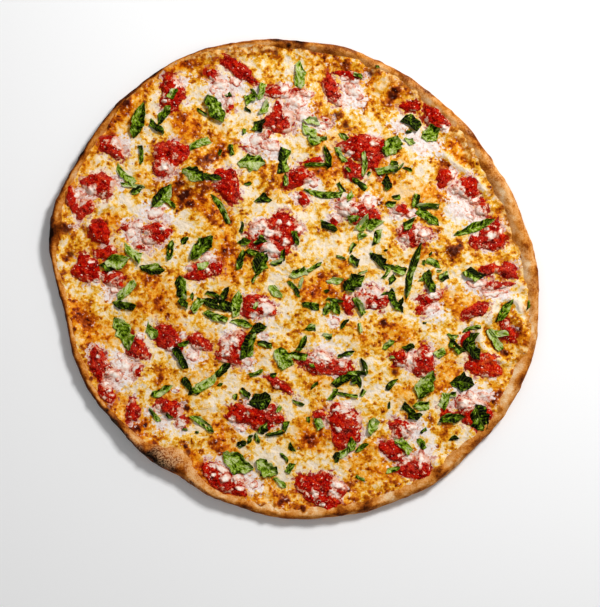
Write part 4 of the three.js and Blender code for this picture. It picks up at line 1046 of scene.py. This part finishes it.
def melted_mozzarella():
    """Melted mozzarella: soft gloss, cream to golden, browned where lumps and fat bubbles met the heat."""
    material, tree = new_material("browned_melted_mozzarella")
    where = add(tree, "ShaderNodeTexCoord").outputs["Object"]
    marks = {name: add(tree, "ShaderNodeAttribute", attribute_name=name).outputs["Fac"]
             for name in ("golden", "browned_and_shaded", "charred", "sauce", "halo", "white", "bare")}
    cloud = add(tree, "ShaderNodeTexNoise", {"Vector": where, "Scale": 1 / (13 * MM),
                                             "Detail": 3.0}).outputs["Fac"]
    patch = add(tree, "ShaderNodeTexNoise", {"Vector": where, "Scale": 1 / (4.6 * MM), "Detail": 4.0,
                                             "Roughness": 0.6})
    soft = patch.outputs["Fac"]
    lace = add(tree, "ShaderNodeTexNoise", {"Vector": where, "Scale": 1 / (2.6 * MM), "Detail": 3.0,
                                            "Roughness": 0.55}).outputs["Fac"]
    # How far it browned: the marks, which also carry painted shade in creases, beside lips and away from the
    # key light, and clouds of three sizes.
    level = -1.335
    for source, weight in ((marks["golden"], 0.17), (cloud, 1.2), (soft, 1.3), (lace, 0.65),
                           (marks["browned_and_shaded"], 0.34), (marks["white"], -0.12)):
        level = add(tree, "ShaderNodeMath", {0: source, 1: weight, 2: level},
                    operation="MULTIPLY_ADD").outputs[0]
    # Freckles of three sizes, each browner towards its middle, with their places shaken up to 8 mm about.
    shaken = add(tree, "ShaderNodeVectorMath", {0: patch.outputs["Color"], 1: [8 * MM] * 3},
                 operation="MULTIPLY").outputs[0]
    shaken = add(tree, "ShaderNodeVectorMath", {0: where, 1: shaken}, operation="ADD").outputs[0]
    for size, radius, weight in ((10, 0.34, 0.26), (6.5, 0.36, 0.24), (4.2, 0.37, 0.2)):
        cells = add(tree, "ShaderNodeTexVoronoi", {"Vector": shaken, "Scale": 1 / (size * MM)})
        own = add(tree, "ShaderNodeSeparateColor", {"Color": cells.outputs["Color"]}).outputs[0]
        own = add(tree, "ShaderNodeMapRange", {"Value": own, 1: 0.42, 2: 0.85, 4: radius}).outputs[0]
        inside = add(tree, "ShaderNodeMath", {0: own, 1: cells.outputs["Distance"]},
                     operation="SUBTRACT").outputs[0]
        inside = add(tree, "ShaderNodeMapRange", {"Value": inside, 1: 0.0, 2: 0.12, 4: weight}).outputs[0]
        level = add(tree, "ShaderNodeMath", {0: inside, 1: level}, operation="ADD").outputs[0]
    colour = add(tree, "ShaderNodeValToRGB", {"Fac": level}, stops=[
        (0.1, "#F4E2C9"), (0.26, "#F5D494"), (0.36, "#F0BC44"), (0.47, "#E09A1A"), (0.6, "#BA660A"),
        (0.78, "#823808"), (1.0, "#441604")]).outputs["Color"]
    oily = add(tree, "ShaderNodeMapRange", {"Value": marks["golden"], 1: 0.4, 2: 1.1, 4: 0.9}).outputs[0]
    colour = add(tree, "ShaderNodeMix", {0: oily, 6: colour, 7: linear("#FCCE50")}, data_type="RGBA",
                 blend_type="MULTIPLY").outputs[2]
    # Towards the rim the sheet thins out and the speckled dough shows.
    dough = add(tree, "ShaderNodeValToRGB", {"Fac": soft}, stops=[
        (0.36, "#F2D098"), (0.46, "#E4AC5C"), (0.54, "#C87C24"), (0.64, "#8A4A10")]).outputs["Color"]
    bare = add(tree, "ShaderNodeMath", {0: marks["bare"], 1: 0.85}, operation="MULTIPLY").outputs[0]
    colour = add(tree, "ShaderNodeMix", {0: bare, 6: colour, 7: dough}, data_type="RGBA").outputs[2]
    milky = add(tree, "ShaderNodeValToRGB", {"Fac": lace}, stops=[
        (0.38, "#F2EAE6"), (0.52, "#EEDED8"), (0.62, "#E2B4A4"), (0.72, "#C86850")]).outputs["Color"]
    # White lacy sheets, tomato-stained rings, ragged pulp and char, each broken up by the same lace.
    for mark, stain, reach, low, high, most in (("white", milky, 2.4, 0.28, 0.54, 0.92),
                                                ("halo", linear("#B85420"), 3.0, 0.8, 1.25, 0.75),
                                                ("sauce", linear("#A01004"), 2.8, 0.5, 0.72, 0.92),
                                                ("charred", linear("#5A240C"), 1.6, 0.35, 0.9, 0.85)):
        broken = add(tree, "ShaderNodeMath", {0: lace, 1: 0.5}, operation="SUBTRACT").outputs[0]
        cover = add(tree, "ShaderNodeMath", {0: broken, 1: -reach, 2: marks[mark]},
                    operation="MULTIPLY_ADD").outputs[0]
        cover = add(tree, "ShaderNodeMapRange", {"Value": cover, 1: low, 2: high, 4: most}).outputs[0]
        colour = add(tree, "ShaderNodeMix", {0: cover, 6: colour, 7: stain}, data_type="RGBA").outputs[2]
    gloss = add(tree, "ShaderNodeMapRange", {"Value": level, 3: 0.2, 4: 0.32}).outputs[0]
    relief = add(tree, "ShaderNodeMath", {0: soft, 1: 2.0, 2: lace}, operation="MULTIPLY_ADD").outputs[0]
    finish_surface(tree, {"Specular IOR Level": 0.1}, colour, gloss, relief, 0.7)
    return material


def fresh_curd():
    """Fresh mozzarella curd, melted but not browned: milky white, soft gloss, pink where tomato soaked in."""
    material, tree = new_material("white_mozzarella_curd")
    where = add(tree, "ShaderNodeTexCoord").outputs["Object"]
    edge = add(tree, "ShaderNodeAttribute", attribute_name="edge").outputs["Fac"]
    soft = add(tree, "ShaderNodeTexNoise", {"Vector": where, "Scale": 1 / (3 * MM), "Detail": 4.0,
                                            "Roughness": 0.65}).outputs["Fac"]
    soaked = add(tree, "ShaderNodeMath", {0: edge, 1: 0.42, 2: soft}, operation="MULTIPLY_ADD").outputs[0]
    colour = add(tree, "ShaderNodeValToRGB", {"Fac": soaked}, stops=[
        (0.5, "#F7EEE4"), (0.66, "#F2DCCE"), (0.8, "#E2A890"), (0.95, "#B84028")]).outputs["Color"]
    finish_surface(tree, {"Specular IOR Level": 0.2}, colour, 0.3, soft, 0.3)
    return material


def crushed_tomato():
    """Crushed cooked tomato: wet, deep red pulp with brighter flesh, pale fibres and small sharp glints."""
    material, tree = new_material("wet_crushed_tomato")
    where = add(tree, "ShaderNodeTexCoord").outputs["Object"]
    marks = {name: add(tree, "ShaderNodeAttribute", attribute_name=name).outputs["Fac"]
             for name in ("crease", "net", "edge", "white", "fresh")}
    flesh = add(tree, "ShaderNodeTexNoise", {"Vector": where, "Scale": 1 / (2.6 * MM), "Detail": 4.0,
                                             "Roughness": 0.7}).outputs["Fac"]
    fine = add(tree, "ShaderNodeTexNoise", {"Vector": where, "Scale": 1 / (1.1 * MM), "Detail": 2.0,
                                            "Roughness": 0.6}).outputs["Fac"]
    lace = add(tree, "ShaderNodeTexNoise", {"Vector": where, "Scale": 1 / (2.2 * MM), "Detail": 4.0,
                                            "Roughness": 0.65}).outputs["Fac"]
    # The pulp is painted deeper red in the creases between chunks: painted shade.
    depth = flesh
    for source, weight in ((marks["crease"], -0.5), (fine, 0.5), (marks["fresh"], 0.22)):
        depth = add(tree, "ShaderNodeMath", {0: source, 1: weight, 2: depth},
                    operation="MULTIPLY_ADD").outputs[0]
    colour = add(tree, "ShaderNodeValToRGB", {"Fac": depth}, stops=[
        (0.46, "#4C0200"), (0.63, "#920300"), (0.8, "#BE0E00"), (0.95, "#D23206"),
        (1.12, "#E25616")]).outputs["Color"]
    specks = add(tree, "ShaderNodeMapRange", {"Value": fine, 1: 0.59, 2: 0.68, 4: 0.6}).outputs[0]
    colour = add(tree, "ShaderNodeMix", {0: specks, 6: colour, 7: linear("#E0743C")},
                 data_type="RGBA").outputs[2]
    # A net of melted cheese threads over part of it.
    threads = add(tree, "ShaderNodeMath", {0: flesh, 1: 0.52}, operation="SUBTRACT").outputs[0]
    threads = add(tree, "ShaderNodeMath", {0: threads}, operation="ABSOLUTE").outputs[0]
    threads = add(tree, "ShaderNodeMapRange", {"Value": threads, 1: 0.03, 2: 0.006, 4: 0.25}).outputs[0]
    cover = add(tree, "ShaderNodeMath", {0: threads, 1: marks["net"]}, operation="MULTIPLY").outputs[0]
    colour = add(tree, "ShaderNodeMix", {0: cover, 6: colour, 7: linear("#E4A488")},
                 data_type="RGBA").outputs[2]
    # Ragged patches of cheese melted over it, most of them towards its edge.
    patch = add(tree, "ShaderNodeTexNoise", {"Vector": where, "Scale": 1 / (7 * MM),
                                             "Detail": 2.0}).outputs["Fac"]
    broken = -0.3
    for source, weight in ((marks["edge"], 0.35), (lace, 1.5), (patch, 2.2), (marks["white"], 0.75)):
        broken = add(tree, "ShaderNodeMath", {0: source, 1: weight, 2: broken},
                     operation="MULTIPLY_ADD").outputs[0]
    broken = add(tree, "ShaderNodeMapRange", {"Value": broken, 1: 2.0, 2: 2.6}).outputs[0]
    melt = add(tree, "ShaderNodeValToRGB", {"Fac": broken}, stops=[
        (0.1, "#D0582C"), (0.3, "#E09A78"), (0.5, "#EED0C0"), (0.8, "#F6EAE0")]).outputs["Color"]
    # Towards the outline the melted cheese turns pinker and darker. This is painted warm shade on the mound's
    # steep sides, with some tomato stain.
    outline = add(tree, "ShaderNodeMapRange", {"Value": marks["edge"], 1: 0.7, 2: 1.0, 4: 0.75}).outputs[0]
    melt = add(tree, "ShaderNodeMix", {0: outline, 6: melt, 7: linear("#E4A07C")},
               data_type="RGBA").outputs[2]
    broken = add(tree, "ShaderNodeMapRange", {"Value": broken, 1: 0.0, 2: 0.3, 4: 0.92}).outputs[0]
    colour = add(tree, "ShaderNodeMix", {0: broken, 6: colour, 7: melt}, data_type="RGBA").outputs[2]
    relief = add(tree, "ShaderNodeMath", {0: flesh, 1: 2.0, 2: fine}, operation="MULTIPLY_ADD").outputs[0]
    finish_surface(tree, {"Specular IOR Level": 0.09}, colour, 0.16, relief, 0.5)
    return material


def basil_leaf():
    """Basil wilted by heat: dark green upper face, paler underside, crumpled between fine side ribs."""
    material, tree = new_material("wilted_basil_leaf")
    marks = {name: add(tree, "ShaderNodeAttribute", attribute_name=name).outputs["Fac"]
             for name in ("along", "across", "side", "shade", "own")}
    aside = add(tree, "ShaderNodeMath", {0: marks["across"]}, operation="ABSOLUTE").outputs[0]
    # The ribs leave the midrib at a slant, so the pattern's own lengthwise place is slanted too.
    slanted = add(tree, "ShaderNodeMath", {0: aside, 1: -3.0, 2: marks["along"]},
                  operation="MULTIPLY_ADD").outputs[0]
    run = add(tree, "ShaderNodeCombineXYZ", {0: slanted, 1: marks["side"], 2: marks["own"]}).outputs[0]
    streaks = add(tree, "ShaderNodeTexNoise", {"Vector": run, "Scale": 0.26, "Detail": 4.0,
                                               "Roughness": 0.65}).outputs["Fac"]
    fine = add(tree, "ShaderNodeTexNoise", {"Vector": run, "Scale": 0.8, "Detail": 3.0,
                                            "Roughness": 0.7}).outputs["Fac"]
    tone = -2.23
    for source, weight in ((marks["shade"], 0.75), (streaks, 3.4), (fine, 1.2)):
        tone = add(tree, "ShaderNodeMath", {0: source, 1: weight, 2: tone},
                   operation="MULTIPLY_ADD").outputs[0]
    colour = add(tree, "ShaderNodeValToRGB", {"Fac": tone}, stops=[
        (0.0, "#080A01"), (0.2, "#1C2602"), (0.38, "#465E04"), (0.56, "#7C9A08"), (0.74, "#A2B640"),
        (1.0, "#CCD49C")]).outputs["Color"]
    # Fine pale side ribs: a wave's period is 0.314 over its scale.
    ribs = add(tree, "ShaderNodeTexWave", {"Vector": run, "Scale": 0.314 / RIB_STEP, "Distortion": 2.0,
                                           "Detail": 2.0, "Detail Scale": 1.0}).outputs["Fac"]
    ribs = add(tree, "ShaderNodeMapRange", {"Value": ribs, 1: 0.86, 2: 1.0, 4: 0.2}).outputs[0]
    midrib = add(tree, "ShaderNodeMapRange", {"Value": aside, 1: 0.1, 2: 0.0, 4: 0.35}).outputs[0]
    veins = add(tree, "ShaderNodeMath", {0: ribs, 1: midrib}, operation="MAXIMUM").outputs[0]
    colour = add(tree, "ShaderNodeMix", {0: veins, 6: colour, 7: linear("#98AE34")},
                 data_type="RGBA").outputs[2]
    finish_surface(tree, {"Specular IOR Level": 0.08}, colour, 0.28, streaks, 2.4)
    return material


# ------------------------------------------------------------------------------------ studio

def make_studio():
    """A pale floor, a soft key from the upper right as the shadows show, a weak fill and a white sky."""
    start_clean()
    bpy.ops.mesh.primitive_plane_add(size=FLOOR_SIZE, location=(0, 0, -FLOOR_GAP))
    floor = bpy.context.object
    floor.name = "floor"
    material, tree = new_material("matt_white_backdrop")
    shader = add(tree, "ShaderNodeBsdfPrincipled", {"Base Color": linear("#FAFAFA"), "Roughness": 0.9})
    add(tree, "ShaderNodeOutputMaterial", {"Surface": shader.outputs[0]})
    floor.data.materials.append(material)

    for name, place, size, watts in LAMPS:
        lamp = bpy.data.lights.new(name, "AREA")
        lamp.size = size
        lamp.energy = watts
        light = bpy.data.objects.new(name, lamp)
        light.location = place
        light.rotation_euler = (-light.location).to_track_quat("-Z", "Y").to_euler()
        bpy.context.scene.collection.objects.link(light)

    world = bpy.data.worlds.new("white_sky")
    world.use_nodes = True
    world.node_tree.nodes["Background"].inputs["Color"].default_value = linear("#FFFFFF")
    world.node_tree.nodes["Background"].inputs["Strength"].default_value = SKY_STRENGTH
    bpy.context.scene.world = world
    bpy.context.scene.view_settings.view_transform = "Standard"
    bpy.context.scene.view_settings.look = "Medium High Contrast"


def make_camera():
    """Straight down, as the photograph was taken."""
    x, y, top = VIEW_MIDDLE
    data = bpy.data.cameras.new("camera")
    data.lens = LENS
    data.sensor_width = SENSOR
    camera = bpy.data.objects.new("camera", data)
    camera.location = (x, y, top + VIEW_SPAN * LENS / SENSOR)
    bpy.context.scene.collection.objects.link(camera)
    bpy.context.scene.camera = camera


make_camera()
make_studio()
make_crust(baked_dough())
make_cheese(melted_mozzarella())
make_tomatoes(crushed_tomato())
make_curds(fresh_curd())
make_basil(basil_leaf())
